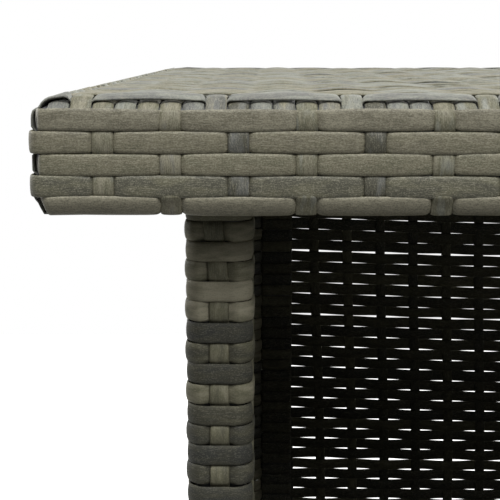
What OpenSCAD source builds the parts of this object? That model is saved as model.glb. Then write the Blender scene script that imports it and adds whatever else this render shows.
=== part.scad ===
// Corner bar table: a woven top on four woven legs, closed by woven panels on the guest
// side and the left end, open on the staff side and the right end, with two woven shelves.
// Frame: +X right, +Y towards the guest side, +Z up. Origin on the floor under the centre
// of the top. The photographed corner is the staff side's left one, at -X and -Y.

/* [Top] */
// Length of the top, left to right
top_l = 1000; // [900:10:1200]
// Depth of the top, staff side to guest side
top_d = 500; // [460:10:600]
// Height of the top surface above the floor
table_h = 1050; // [950:10:1150]
// Thickness of the whole top, five strips and its rounded edges
top_t = 43; // [42:0.5:48]
// Radius of the top's upright corners
top_corner_r = 6; // [5:0.5:8]

/* [Legs and feet] */
// How far the top reaches past a woven leg at the left and right ends
overhang_end = 54; // [45:0.5:80]
// How far the top reaches past a woven leg on the staff and guest sides
overhang_side = 35; // [28:0.5:45]
// Side of the square leg tube
leg_tube = 20; // [20:1:22]
// Height of the plastic foot under the leg tube
foot_h = 12; // [8:1:20]

/* [Steel tube] */
// Wall of every tube
tube_wall = 1.2; // [1:0.1:1.5]
// Width of the tubes in the top frame
frame_tube_w = 20; // [18:1:22]
// How far the top's slats stand above its frame, which the woven surface rises to
slat_rise = 1; // [0.5:0.5:2]
// Side of the square tubes in the shelves and the end rails
rail_tube = 15; // [14:1:16]
// Depth of the tubes in the guest panel, and height of its cross rails
panel_tube = 12; // [12:1:13]
// Width of the guest panel's upright tubes
panel_stile_w = 20; // [18:1:22]

/* [Weave] */
// Thickness of the close weave on the top and its apron
weave_t = 3.5; // [3:0.1:3.8]
// Thickness of the close weave round the legs
leg_weave_t = 4; // [3.5:0.1:4.5]
// Thickness of the open weave in the panels and the shelves
sheet_t = 3.6; // [3:0.1:3.8]
// Thickness of one strip where it wraps a tube
strip_t = 1.2; // [1:0.1:1.4]
// Openings across the guest panel's weave
panel_slots = 12; // [6:1:12]
// Openings across the left end's weave
end_slots = 6; // [3:1:8]
// Height of an opening in the panels' weave
slot_h = 3; // [1:0.5:3.5]

/* [Shelves] */
// Height of the upper shelf above the floor
upper_shelf_z = 690; // [640:10:720]
// Height of the lower shelf above the floor
lower_shelf_z = 340; // [280:10:400]

/* [Hidden] */
$fn = 48;
// Clearance where a woven skin goes round a tube, and where a screw end meets its head
gap = 0.1;
// Top frame
frame_bottom = table_h - top_t + weave_t;
slat_top = table_h - weave_t;
frame_top = slat_top - slat_rise;
frame_h = frame_top - frame_bottom;
frame_mid_z = (frame_top + frame_bottom) / 2;
slat_count = 3;
frame_corner_r = 5;
frame_outer_l = top_l - 2 * weave_t;
frame_outer_d = top_d - 2 * weave_t;
cross_l = frame_outer_d - 2 * frame_tube_w;
// Legs
leg_out = leg_tube + 2 * leg_weave_t;
leg_x = top_l / 2 - overhang_end - leg_out / 2;
leg_y = top_d / 2 - overhang_side - leg_out / 2;
leg_corner_r = 5;
// End frames: one rail under the top, one beside each shelf, one near the floor
end_rail_l = 2 * leg_y - leg_tube;
top_rail_h = 20;
top_rail_z = frame_bottom - top_rail_h / 2;
bottom_rail_z = 70;
shelf_rail_drop = sheet_t + rail_tube / 2;
shelf_rail_zs = [lower_shelf_z - shelf_rail_drop, upper_shelf_z - shelf_rail_drop];
sleeve_t = 2 * strip_t;
// Openings in the weave of the panels: rows between two rails, and the weave left between
// two openings of a row
slot_rows = 4;
slot_rib = 7.2;
// Guest panel
leg_face_x = leg_x - leg_out / 2;
stile_x = leg_face_x - 1.5 - panel_stile_w / 2;
panel_bottom = 55;
panel_top = frame_bottom - 6.5;
panel_sheet_y = leg_y + panel_tube / 2;
panel_rail_zs = concat([panel_bottom + panel_tube / 2], shelf_rail_zs, [panel_top - panel_tube / 2]);
// Shelves
shelf_half_l = leg_face_x - 0.5 - strip_t;
shelf_staff_y = -leg_y - leg_out / 2 + 8;
shelf_guest_y = leg_y - panel_tube / 2 - strip_t - 1.3;
shelf_mid_y = (shelf_staff_y + shelf_guest_y) / 2;
shelf_d = shelf_guest_y - shelf_staff_y;
// M6 fasteners
bolt_r = 3;
bolt_hole_r = 3.3;
head_r = 5.25;
head_h = 3.3;
nut_body_r = 4.5;
nut_flange_r = 6.5;
nut_flange_t = 0.8;
nut_l = 10;
nut_bore_r = 3.1;
shelf_bush_r = 6;
panel_bush_r = 5.4;
bush_clearance = 0.2;
top_bolt_ys = [-120, 120];
panel_bolt_zs = [200, 580, 960];
shelf_bolt_ys = [-140, 120];
top_bolt_l = 30;
panel_bolt_l = 35;
shelf_bolt_l = 30;
leg_tube_face_x = leg_x - leg_tube / 2;
rail_face_x = leg_x - rail_tube / 2;
// Colours
steel = "#3b3d40";
rattan = "#79756a";
rattan_dark = "#66645c";
plastic = "#232426";
zinc = "#a9acb0";

// A rectangle with true round corners, centred
module rounded_rect(w, h, r) {
    square([w - 2 * r, h], center = true);
    square([w, h - 2 * r], center = true);
    for (sx = [-1, 1], sy = [-1, 1])
        translate([sx * (w / 2 - r), sy * (h / 2 - r)]) circle(r);
}

// The section of a rectangular steel tube
module tube_section(w, h, corner_r = 1.6) {
    difference() {
        rounded_rect(w, h, corner_r);
        rounded_rect(w - 2 * tube_wall, h - 2 * tube_wall, max(corner_r - tube_wall, 0.5));
    }
}

// Tubes along each axis, centred, with the section's two sides in the order x, y, z
module tube_x(l, w_y, h_z) {
    rotate([90, 0, 90]) linear_extrude(l, center = true) tube_section(w_y, h_z);
}
module tube_y(l, w_x, h_z) {
    rotate([90, 0, 0]) linear_extrude(l, center = true) tube_section(w_x, h_z);
}
module tube_z(l, w_x, w_y) {
    linear_extrude(l, center = true) tube_section(w_x, w_y);
}

// A round bar along X from x0 to x1, for holes and shanks
module bar_x(x0, x1, r) {
    translate([min(x0, x1), 0, 0]) rotate([0, 90, 0]) cylinder(h = abs(x1 - x0), r = r);
}

// Parts that stand at both ends, drawn for the right end and mirrored for the left one
module both_ends() {
    children();
    mirror([1, 0, 0]) children();
}

// A tube of the top frame along X, mitred at both ends. Its outer face is at y = 0 and the
// tube lies above it.
module mitred_tube(l) {
    w = frame_tube_w;
    intersection() {
        translate([0, w / 2, 0]) rotate([90, 0, 90])
            linear_extrude(l, center = true) tube_section(w, frame_h, frame_corner_r);
        linear_extrude(frame_h, center = true)
            polygon([[-l / 2, 0], [l / 2, 0], [l / 2 - w, w], [w - l / 2, w]]);
    }
}

// The long tube on one side of the top frame: side is -1 for staff and 1 for guest
module top_frame_long_tube(side) {
    color(steel) rotate([0, 0, side < 0 ? 0 : 180])
        translate([0, -frame_outer_d / 2, frame_mid_z]) mitred_tube(frame_outer_l);
}

// The short tube at one end of the top frame: side is -1 for left and 1 for right
module top_frame_end_tube(side) {
    color(steel) rotate([0, 0, side < 0 ? -90 : 90])
        translate([0, -frame_outer_l / 2, frame_mid_z]) mitred_tube(frame_outer_d);
}

// Bars across the top frame over the legs, with holes for the rivet nuts in their undersides
module top_frame_leg_bars() {
    color(steel) both_ends() difference() {
        translate([leg_x, 0, frame_mid_z]) tube_y(cross_l, frame_tube_w, frame_h);
        for (y = top_bolt_ys)
            translate([leg_x, y, frame_bottom - 1]) cylinder(h = tube_wall + 2, r = nut_body_r);
    }
}

// Slats that carry the woven surface between the leg bars
module top_frame_slats() {
    slat_pitch = 2 * leg_x / (slat_count + 1);
    color(steel) for (i = [1:slat_count])
        translate([-leg_x + i * slat_pitch, 0, slat_top - frame_tube_w / 2])
            tube_y(cross_l, frame_tube_w, frame_tube_w);
}

// A quarter of a disc of the weave's thickness, in the corner right of x and above 0
module weave_edge_section(x) {
    intersection() {
        translate([x, 0]) circle(weave_t, $fn = 32);
        translate([x, 0]) square(weave_t);
    }
}

// The woven surface, its edge rounded over all the way round. Its rim rests on the frame's
// tubes, and the middle on the slats.
module top_weave() {
    inner_l = top_l - 2 * top_corner_r;
    inner_d = top_d - 2 * top_corner_r;
    flat_r = top_corner_r - weave_t;
    color(rattan) {
        translate([0, 0, slat_top]) {
            translate([-inner_l / 2, -inner_d / 2 - flat_r, 0])
                cube([inner_l, inner_d + 2 * flat_r, weave_t]);
            for (a = [0, 180]) rotate([0, 0, a]) {
                translate([0, inner_d / 2, 0]) rotate([90, 0, -90]) mirror([1, 0, 0])
                    linear_extrude(inner_l, center = true) weave_edge_section(flat_r);
                translate([inner_l / 2, -inner_d / 2, 0]) cube([flat_r, inner_d, weave_t]);
                translate([inner_l / 2, 0, 0]) rotate([90, 0, 0])
                    linear_extrude(inner_d, center = true) weave_edge_section(flat_r);
            }
            for (sx = [0, 1], sy = [0, 1]) mirror([sx, 0, 0]) mirror([0, sy, 0])
                translate([inner_l / 2, inner_d / 2, 0]) rotate_extrude(angle = 90) {
                    square([flat_r, weave_t]);
                    weave_edge_section(flat_r);
                }
        }
        translate([0, 0, frame_top]) linear_extrude(slat_rise) difference() {
            rounded_rect(top_l, top_d, top_corner_r);
            square([frame_outer_l - 2 * frame_tube_w, cross_l], center = true);
        }
    }
}

// The section of the apron: an upright wall and a lip under the tube, with a round edge.
// Its outer face is at x = 0 and its underside at y = 0.
module apron_section() {
    translate([0, weave_t]) square([weave_t, frame_h]);
    translate([weave_t, 0]) square([frame_tube_w, weave_t]);
    intersection() {
        translate([weave_t, weave_t]) circle(weave_t);
        square(weave_t);
    }
}

// The woven apron on the staff side, or on the guest side once mirrored
module apron_weave_long(side) {
    color(rattan) mirror([0, side > 0 ? 1 : 0, 0]) intersection() {
        translate([0, -top_d / 2, frame_bottom - weave_t])
            rotate([90, 0, 90]) linear_extrude(top_l, center = true) apron_section();
        translate([0, 0, frame_bottom - weave_t])
            linear_extrude(top_t) rounded_rect(top_l, top_d, top_corner_r);
    }
}

// The woven apron at one end, between the long ones. Its lip ends short of theirs.
module apron_weave_end(side) {
    color(rattan) mirror([side < 0 ? 1 : 0, 0, 0]) difference() {
        translate([top_l / 2, 0, frame_bottom - weave_t])
            rotate([90, 0, 180]) linear_extrude(top_d - 2 * weave_t, center = true) apron_section();
        for (s = [-1, 1])
            translate([top_l / 2 - 50, s * top_d / 2, frame_bottom - weave_t / 2])
                cube([200, 2 * (weave_t + frame_tube_w), weave_t + gap / 10], center = true);
    }
}

// One leg tube at the corner that sx and sy name. The guest legs take the panel's rivet nuts.
module leg(sx, sy) {
    leg_l = frame_bottom - foot_h;
    color(steel) difference() {
        translate([sx * leg_x, sy * leg_y, foot_h + leg_l / 2]) tube_z(leg_l, leg_tube, leg_tube);
        if (sy > 0) for (z = panel_bolt_zs)
            translate([0, leg_y, z])
                bar_x(sx * (leg_tube_face_x - 1), sx * (leg_tube_face_x + tube_wall + 1), nut_body_r);
    }
}

// The woven sleeve round a leg, open where the end rails and the panel's bushes reach the tube
module leg_weave(sx, sy) {
    sleeve_bottom = foot_h + 2;
    sleeve_l = frame_bottom - 0.5 - sleeve_bottom;
    color(rattan_dark) difference() {
        translate([sx * leg_x, sy * leg_y, sleeve_bottom]) linear_extrude(sleeve_l) difference() {
            rounded_rect(leg_out, leg_out, leg_corner_r);
            rounded_rect(leg_tube + gap, leg_tube + gap, 1.6);
        }
        for (z = concat([bottom_rail_z], shelf_rail_zs))
            translate([sx * leg_x, sy * (leg_y - leg_out / 2), z])
                cube([rail_tube + 1, leg_out - leg_tube + 1, rail_tube + 1], center = true);
        translate([sx * leg_x, sy * (leg_y - leg_out / 2), top_rail_z])
            cube([rail_tube + 1, leg_out - leg_tube + 1, top_rail_h + 1], center = true);
        if (sy > 0) for (z = panel_bolt_zs)
            translate([0, leg_y, z])
                bar_x(sx * (leg_face_x - 1), sx * (leg_tube_face_x + gap), nut_flange_r + 0.3);
    }
}

// A plastic foot: a pad under the leg and a ribbed plug inside its tube
module foot(sx, sy) {
    pad = leg_out - 2;
    plug = leg_tube - 2 * tube_wall - 0.3;
    plug_l = 20;
    color(plastic) translate([sx * leg_x, sy * leg_y, 0]) {
        translate([0, 0, 2]) linear_extrude(foot_h - 2) rounded_rect(pad, pad, 4);
        linear_extrude(2) rounded_rect(pad - 3, pad - 3, 3);
        translate([0, 0, foot_h]) linear_extrude(plug_l) rounded_rect(plug - 1.2, plug - 1.2, 2);
        for (i = [0:3])
            translate([0, 0, foot_h + 2 + 4.5 * i]) linear_extrude(1.2) rounded_rect(plug, plug, 2);
    }
}

// The rails that join the two legs of an end frame, with holes for the top and shelf bolts
module end_rails() {
    color(steel) {
        translate([leg_x, 0, bottom_rail_z]) tube_y(end_rail_l, rail_tube, rail_tube);
        for (z = shelf_rail_zs) difference() {
            translate([leg_x, 0, z]) tube_y(end_rail_l, rail_tube, rail_tube);
            for (y = shelf_bolt_ys)
                translate([0, y, z]) bar_x(rail_face_x - 1, rail_face_x + tube_wall + 1, nut_body_r);
        }
        difference() {
            translate([leg_x, 0, top_rail_z]) tube_y(end_rail_l, rail_tube, top_rail_h);
            for (y = top_bolt_ys)
                translate([leg_x, y, top_rail_z - top_rail_h]) cylinder(h = 2 * top_rail_h, r = bolt_hole_r);
        }
    }
}
module right_end_rails() {
    end_rails();
}
module left_end_rails() {
    mirror([1, 0, 0]) end_rails();
}

// A grid of level openings between an open weave's rails, flat, with height along Y
module weave_slots(half_l, columns, rail_zs, rail_h) {
    pitch = 2 * half_l / columns;
    for (bay = [0:len(rail_zs) - 2]) {
        low = rail_zs[bay] + rail_h / 2;
        step = (rail_zs[bay + 1] - rail_h / 2 - low) / slot_rows;
        for (column = [0:columns - 1], row = [0:slot_rows - 1])
            translate([-half_l + (column + 0.5) * pitch, low + (row + 0.5) * step])
                square([pitch - slot_rib, slot_h], center = true);
    }
}

// The open weave that closes the left end, on the outer face of its rails
module left_end_weave() {
    y_half = leg_y - leg_out / 2 - gap;
    z0 = bottom_rail_z - rail_tube / 2 - strip_t;
    rail_zs = concat([bottom_rail_z], shelf_rail_zs, [top_rail_z]);
    color(rattan) translate([-leg_x - rail_tube / 2 - sheet_t, 0, 0]) rotate([90, 0, 90])
        linear_extrude(sheet_t) difference() {
            translate([-y_half, z0]) square([2 * y_half, frame_bottom - 1 - z0]);
            weave_slots(y_half, end_slots, rail_zs, top_rail_h);
        }
}

// The strip ends of that weave, wrapped under and behind the bottom rail
module left_end_bottom_wrap() {
    side = rail_tube + 2 * strip_t;
    color(rattan_dark) translate([-leg_x, 0, bottom_rail_z]) rotate([90, 0, 0])
        linear_extrude(2 * (leg_y - leg_out / 2 - gap), center = true) difference() {
            translate([-rail_tube / 2, -side / 2]) square([rail_tube + strip_t, side]);
            square([rail_tube + gap, rail_tube + gap], center = true);
        }
}

// Woven sleeves round the rails that show at the open right end. The one under the top is
// open above and round its bolts, and the shelf rails' are open round the bushes.
module right_rail_weave() {
    l = 2 * (leg_y - leg_out / 2 - gap);
    side = rail_tube + 2 * sleeve_t;
    color(rattan) {
        for (z = concat([bottom_rail_z], shelf_rail_zs)) difference() {
            translate([leg_x, 0, z]) rotate([90, 0, 0]) linear_extrude(l, center = true) difference() {
                rounded_rect(side, side, 3);
                square(rail_tube + gap, center = true);
            }
            if (z != bottom_rail_z) for (y = shelf_bolt_ys)
                translate([0, y, z]) bar_x(rail_face_x - 10, rail_face_x + 1, nut_flange_r + 0.3);
        }
        difference() {
            translate([leg_x, 0, top_rail_z]) rotate([90, 0, 0]) linear_extrude(l, center = true)
                difference() {
                    translate([0, -sleeve_t / 2 - gap])
                        square([side, top_rail_h + sleeve_t - 2 * gap], center = true);
                    square([rail_tube + gap, top_rail_h + gap], center = true);
                    translate([0, top_rail_h / 2]) square([rail_tube + gap, 2], center = true);
                }
            for (y = top_bolt_ys)
                translate([leg_x, y, top_rail_z - top_rail_h]) cylinder(h = top_rail_h, r = head_r + 1);
        }
    }
}

// The guest panel's upright tubes, bolted to the legs through a bush
module guest_panel_stiles() {
    color(steel) both_ends() difference() {
        translate([stile_x, leg_y, (panel_bottom + panel_top) / 2])
            tube_z(panel_top - panel_bottom, panel_stile_w, panel_tube);
        for (z = panel_bolt_zs)
            translate([0, leg_y, z]) bar_x(stile_x - panel_stile_w, stile_x + panel_stile_w, bolt_hole_r);
    }
}

// The guest panel's cross rails, between its uprights
module guest_panel_rails() {
    color(steel) for (z = panel_rail_zs)
        translate([0, leg_y, z]) tube_x(2 * stile_x - panel_stile_w, panel_tube, panel_tube);
}

// The open weave of the guest panel, on the outer face of its frame
module guest_panel_weave() {
    half = stile_x + panel_stile_w / 2 + strip_t;
    color(rattan) translate([0, panel_sheet_y + sheet_t, 0]) rotate([90, 0, 0])
        linear_extrude(sheet_t) difference() {
            translate([-half, panel_bottom - strip_t])
                square([2 * half, panel_top - panel_bottom + 2 * strip_t]);
            weave_slots(stile_x - panel_stile_w / 2, panel_slots, panel_rail_zs, panel_tube);
        }
}

// The strip ends of the guest panel, wrapped round its frame on the staff side. They are
// open round the bolt heads and the bushes.
module guest_panel_edge_wraps() {
    depth = panel_tube + strip_t;
    wrap_side = panel_tube + 2 * strip_t;
    stile_wrap_w = panel_stile_w + 2 * strip_t;
    color(rattan_dark) {
        both_ends() difference() {
            translate([stile_x - stile_wrap_w / 2, leg_y - panel_tube / 2 - strip_t, panel_bottom])
                cube([stile_wrap_w, depth, panel_top - panel_bottom]);
            translate([stile_x, leg_y, (panel_bottom + panel_top) / 2])
                cube([panel_stile_w + gap, panel_tube + gap, panel_top], center = true);
            for (z = panel_bolt_zs)
                translate([0, leg_y, z])
                    bar_x(stile_x - stile_wrap_w, stile_x + stile_wrap_w, panel_bush_r + bush_clearance);
        }
        for (z = [panel_rail_zs[0], panel_rail_zs[3]]) difference() {
            l = 2 * (stile_x - panel_stile_w / 2 - strip_t - gap);
            translate([-l / 2, leg_y - panel_tube / 2 - strip_t, z - wrap_side / 2])
                cube([l, depth, wrap_side]);
            translate([0, leg_y, z])
                cube([l + 2, panel_tube + gap, panel_tube + gap], center = true);
        }
    }
}

// A shelf's two long tubes
module shelf_side_tubes(shelf_z) {
    color(steel) for (y = [shelf_staff_y + strip_t + rail_tube / 2, shelf_guest_y - strip_t - rail_tube / 2])
        translate([0, y, shelf_z - shelf_rail_drop]) tube_x(2 * shelf_half_l, rail_tube, rail_tube);
}

// A shelf's two end tubes, drilled for the bolts
module shelf_end_tubes(shelf_z) {
    x = shelf_half_l - rail_tube / 2;
    color(steel) both_ends() difference() {
        translate([x, shelf_mid_y, shelf_z - shelf_rail_drop])
            tube_y(shelf_d - 2 * (strip_t + rail_tube), rail_tube, rail_tube);
        for (y = shelf_bolt_ys)
            translate([0, y, shelf_z - shelf_rail_drop]) bar_x(x - rail_tube, x + rail_tube, bolt_hole_r);
    }
}

// Slats that carry a shelf's weave
module shelf_slats(shelf_z) {
    slat_pitch = 2 * shelf_half_l / (slat_count + 1);
    color(steel) for (i = [1:slat_count])
        translate([-shelf_half_l + i * slat_pitch, shelf_mid_y, shelf_z - shelf_rail_drop])
            tube_y(shelf_d - 2 * (strip_t + rail_tube), rail_tube, rail_tube);
}

// A shelf's open weave
module shelf_weave(shelf_z) {
    half = shelf_half_l + strip_t;
    color(rattan) translate([-half, shelf_staff_y, shelf_z - sheet_t])
        cube([2 * half, shelf_d, sheet_t]);
}

// The strip ends of a shelf's weave, folded down its edges and under its tubes. Each edge has
// a fold of its own. The end folds are open round the bushes.
module shelf_edge_wraps(shelf_z) {
    z0 = shelf_z - sheet_t - rail_tube - strip_t;
    drop = rail_tube + strip_t;
    half = shelf_half_l + strip_t;
    color(rattan_dark) {
        for (m = [0, 1]) {
            y_edge = m == 0 ? shelf_staff_y : shelf_guest_y - strip_t;
            y_under = m == 0 ? shelf_staff_y : shelf_guest_y - drop;
            translate([-half, y_edge, z0]) cube([2 * half, strip_t, drop]);
            translate([-half + strip_t + gap, y_under, z0])
                cube([2 * (half - strip_t - gap), drop, strip_t]);
        }
        both_ends() difference() {
            union() {
                translate([half - strip_t, shelf_staff_y + strip_t + gap, z0])
                    cube([strip_t, shelf_d - 2 * (strip_t + gap), drop]);
                translate([half - drop, shelf_staff_y + drop + gap, z0])
                    cube([drop, shelf_d - 2 * (drop + gap), strip_t]);
            }
            for (y = shelf_bolt_ys)
                translate([0, y, shelf_z - shelf_rail_drop])
                    bar_x(shelf_half_l - 1, half + 1, shelf_bush_r + bush_clearance);
        }
    }
}

// A button head screw along -Z from the origin, its head above it, with a hex socket
module button_screw(shank_l) {
    difference() {
        union() {
            cylinder(h = head_h - 1.3, r = head_r);
            translate([0, 0, head_h - 1.3]) cylinder(h = 1.3, r1 = head_r, r2 = head_r - 1.6, $fn = 48);
            translate([0, 0, -shank_l]) cylinder(h = shank_l + gap, r = bolt_r);
        }
        translate([0, 0, head_h - 2]) cylinder(h = 3, r = 2.31, $fn = 6);
    }
}

// A rivet nut along -Z from the origin, its flange above it
module rivet_nut() {
    difference() {
        union() {
            cylinder(h = nut_flange_t, r = nut_flange_r);
            translate([0, 0, -nut_l]) cylinder(h = nut_l + gap, r = nut_body_r - gap);
        }
        translate([0, 0, -nut_l - 1]) cylinder(h = nut_l + 3, r = nut_bore_r);
    }
}

// A nylon bush along +Z from the origin
module bush(l, r) {
    difference() {
        cylinder(h = l, r = r);
        translate([0, 0, -1]) cylinder(h = l + 2, r = bolt_hole_r);
    }
}

// Screws up through the end rails into the top frame
module top_bolts() {
    color(zinc) both_ends() for (y = top_bolt_ys)
        translate([leg_x, y, top_rail_z - top_rail_h / 2]) rotate([180, 0, 0]) button_screw(top_bolt_l);
}
module top_rivet_nuts() {
    color(zinc) both_ends() for (y = top_bolt_ys)
        translate([leg_x, y, frame_bottom]) difference() {
            translate([0, 0, gap]) cylinder(h = nut_l, r = nut_body_r - gap);
            translate([0, 0, -1]) cylinder(h = nut_l + 3, r = nut_bore_r);
        }
}

// Screws through the guest panel's uprights into the legs, each with its nut and bush
module panel_bolts() {
    color(zinc) both_ends() for (z = panel_bolt_zs)
        translate([stile_x - panel_stile_w / 2, leg_y, z]) rotate([0, -90, 0]) button_screw(panel_bolt_l);
}
module panel_rivet_nuts() {
    color(zinc) both_ends() for (z = panel_bolt_zs)
        translate([leg_tube_face_x, leg_y, z]) rotate([0, -90, 0]) rivet_nut();
}
module panel_bushes() {
    x0 = stile_x + panel_stile_w / 2;
    color(plastic) both_ends() for (z = panel_bolt_zs)
        translate([x0, leg_y, z]) rotate([0, 90, 0])
            bush(leg_tube_face_x - nut_flange_t - x0, panel_bush_r);
}

// Screws through both shelves' end tubes into the end rails, each with its nut and bush
module shelf_fastener_places(x) {
    both_ends() for (z = shelf_rail_zs, y = shelf_bolt_ys) translate([x, y, z]) children();
}
module shelf_bolts() {
    color(zinc) shelf_fastener_places(shelf_half_l - rail_tube)
        rotate([0, -90, 0]) button_screw(shelf_bolt_l);
}
module shelf_rivet_nuts() {
    color(zinc) shelf_fastener_places(rail_face_x) rotate([0, -90, 0]) rivet_nut();
}
module shelf_bushes() {
    color(plastic) shelf_fastener_places(shelf_half_l)
        rotate([0, 90, 0]) bush(rail_face_x - nut_flange_t - shelf_half_l, shelf_bush_r);
}

top_frame_long_tube(-1);  // top_frame_staff_tube
top_frame_long_tube(1);  // top_frame_guest_tube
top_frame_end_tube(-1);  // top_frame_left_tube
top_frame_end_tube(1);  // top_frame_right_tube
top_frame_leg_bars();
top_frame_slats();
top_weave();
apron_weave_long(-1);  // apron_weave_staff
apron_weave_long(1);  // apron_weave_guest
apron_weave_end(-1);  // apron_weave_left
apron_weave_end(1);  // apron_weave_right
leg(-1, -1);  // leg_staff_left
leg(1, -1);  // leg_staff_right
leg(-1, 1);  // leg_guest_left
leg(1, 1);  // leg_guest_right
leg_weave(-1, -1);  // leg_weave_staff_left
leg_weave(1, -1);  // leg_weave_staff_right
leg_weave(-1, 1);  // leg_weave_guest_left
leg_weave(1, 1);  // leg_weave_guest_right
foot(-1, -1);  // foot_staff_left
foot(1, -1);  // foot_staff_right
foot(-1, 1);  // foot_guest_left
foot(1, 1);  // foot_guest_right
left_end_rails();
right_end_rails();
left_end_weave();
left_end_bottom_wrap();
right_rail_weave();
guest_panel_stiles();
guest_panel_rails();
guest_panel_weave();
guest_panel_edge_wraps();
shelf_side_tubes(upper_shelf_z);  // upper_shelf_side_tubes
shelf_end_tubes(upper_shelf_z);  // upper_shelf_end_tubes
shelf_slats(upper_shelf_z);  // upper_shelf_slats
shelf_weave(upper_shelf_z);  // upper_shelf_weave
shelf_edge_wraps(upper_shelf_z);  // upper_shelf_edge_wraps
shelf_side_tubes(lower_shelf_z);  // lower_shelf_side_tubes
shelf_end_tubes(lower_shelf_z);  // lower_shelf_end_tubes
shelf_slats(lower_shelf_z);  // lower_shelf_slats
shelf_weave(lower_shelf_z);  // lower_shelf_weave
shelf_edge_wraps(lower_shelf_z);  // lower_shelf_edge_wraps
top_bolts();
top_rivet_nuts();
panel_bolts();
panel_rivet_nuts();
panel_bushes();
shelf_bolts();
shelf_rivet_nuts();
shelf_bushes();
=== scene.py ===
"""Looks of a corner bar table: its woven strips, its finishes and its stage.

The table is a steel frame that is woven all over with flat polyethylene strips. Its top,
apron and legs have a close weave, and its guest side, left end and shelves an open one.
The CAD model gives every place. Lengths in the geometry are millimetres until a mesh is made.
"""

import math
from types import SimpleNamespace

import bpy
import numpy as np
from bpy.props import FloatProperty, FloatVectorProperty, IntProperty, PointerProperty
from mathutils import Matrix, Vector


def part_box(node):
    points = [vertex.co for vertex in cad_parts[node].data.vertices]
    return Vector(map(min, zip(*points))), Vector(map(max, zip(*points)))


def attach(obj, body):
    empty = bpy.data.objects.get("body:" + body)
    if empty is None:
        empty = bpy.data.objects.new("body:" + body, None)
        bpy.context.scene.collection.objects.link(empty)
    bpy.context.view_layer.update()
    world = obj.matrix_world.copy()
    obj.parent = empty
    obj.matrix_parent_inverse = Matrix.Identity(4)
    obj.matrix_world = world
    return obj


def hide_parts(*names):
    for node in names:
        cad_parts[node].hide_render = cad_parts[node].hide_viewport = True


bl_info = {
    "name": "Corner bar table looks",
    "version": (1, 0, 0),
    "blender": (4, 5, 0),
    "location": "3D View > Sidebar > Bar table",
    "description": "Builds the woven strips, finishes and stage of a corner bar table",
    "category": "Object",
}

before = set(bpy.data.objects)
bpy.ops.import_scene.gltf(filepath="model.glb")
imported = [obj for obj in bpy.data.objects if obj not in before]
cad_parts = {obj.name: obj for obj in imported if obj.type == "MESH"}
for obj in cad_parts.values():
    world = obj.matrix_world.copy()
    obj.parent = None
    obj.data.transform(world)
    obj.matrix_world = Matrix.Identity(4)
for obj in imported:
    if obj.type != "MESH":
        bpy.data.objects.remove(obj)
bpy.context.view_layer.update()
MM = 0.001

# Which two axes an outline's plan has, and the axis that its strips are spread along
PLAN_XY = (0, 1, 2)
PLAN_XZ = (0, 2, 1)
PLAN_YZ = (1, 2, 0)
PLAN_ZY = (2, 1, 0)
PLAN_ZX = (2, 0, 1)

# The close weave: a strip floats over five stakes and dips under the sixth
REPEAT = 6
APRON_ROWS = (1, 2, 3, 4)
BEND_ROW = 5
UNDER_ROWS = (6, 7)
# Each apron row's place between the tones of its strip. The lowest row faces down and out, and it
# has the palest tone as painted light: it stands in for the light that a bright floor throws up
# onto it
APRON_TONES_AND_PAINTED_LIGHT = {1: 0.86, 2: 0.56, 3: 0.42, 4: 0.08, 5: 1.0}
# The same for the crosswise strips that show on the apron beside the left staff leg
STAKE_TONES = {2: 0.5, 5: 0.54, 8: 0.91, 11: 0.4, 14: 1.0, 17: 0.42, 20: 0.4}
# The same for a leg's rings from the top down, over and over, and for its stakes. The rings' tones
# differ from one ring to the next. The first six are also paler, as painted light in the shadow
# under the apron, and the next nine are darker, as painted shade where the light falls off down the
# leg
LEG_TONES_AND_PAINTED_LIGHT = (0.55, 0.72, 0.9, 0.74, 1.0, 0.86, 0.1, 0.4, 0.2, 0.72, 0.3, 0.24, 0.08, 0.26, 0.14)
LEG_STAKE_TONE = 0.62
# A strip without a tone of its own gets one from 0 up to this, short of its darkest
COMMON_TONES = 0.8

# Gaps between the guest panel's rows, counted from its top, that are wider than the others
WIDE_PANEL_GAPS = (7, 11, 17, 31, 44, 58, 63, 79, 96)


def mirrored(half):
    """A section from its left half"""
    return half + tuple((-across, body, dome) for across, body, dome in reversed(half))


# Sections of a strip: place across as a share of half its width, then the shares of its
# thickness and of its crown
CROWNED = mirrored((
    (-0.80, 0.00, 0.00), (-1.00, 0.45, 0.00), (-0.86, 0.90, 0.10), (-0.38, 1.00, 0.85),
))
CROWNED_FINE = mirrored((
    (-0.86, 0.00, 0.00), (-0.97, 0.18, 0.00), (-1.00, 0.52, 0.00),
    (-0.94, 0.86, 0.00), (-0.70, 1.00, 0.45), (-0.25, 1.00, 0.94),
))
LENS = (
    (-0.84, 0.10, 0.00), (-1.00, 0.50, 0.00), (-0.84, 0.90, 0.00), (0.00, 1.00, 0.60),
    (0.84, 0.90, 0.00), (1.00, 0.50, 0.00), (0.84, 0.10, 0.00), (0.00, 0.00, -0.60),
)


def linear(hex_colour):
    """An sRGB hex colour as linear red, green, blue and alpha"""
    levels = [int(hex_colour[i : i + 2], 16) / 255 for i in (1, 3, 5)]
    return [c / 12.92 if c <= 0.04045 else ((c + 0.055) / 1.055) ** 2.4 for c in levels] + [1.0]


def length_property(name, description, millimetres):
    """A property for a length, given here in millimetres"""
    return FloatProperty(
        name=name, description=description, default=millimetres * MM, unit="LENGTH", precision=5
    )


def angle_property(name, description, degrees):
    """A property for an angle, given here in degrees"""
    return FloatProperty(
        name=name, description=description, default=math.radians(degrees), unit="ROTATION",
        subtype="ANGLE",
    )


def power_property(name, description, watts):
    """A property for a lamp's power in watts"""
    return FloatProperty(name=name, description=description, default=watts, unit="POWER")


def colour_property(name, description, hex_colour):
    """A property for a colour, given here as an sRGB hex value"""
    return FloatVectorProperty(
        name=name, description=description, default=linear(hex_colour), size=4, min=0, max=1,
        subtype="COLOR",
    )


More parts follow.
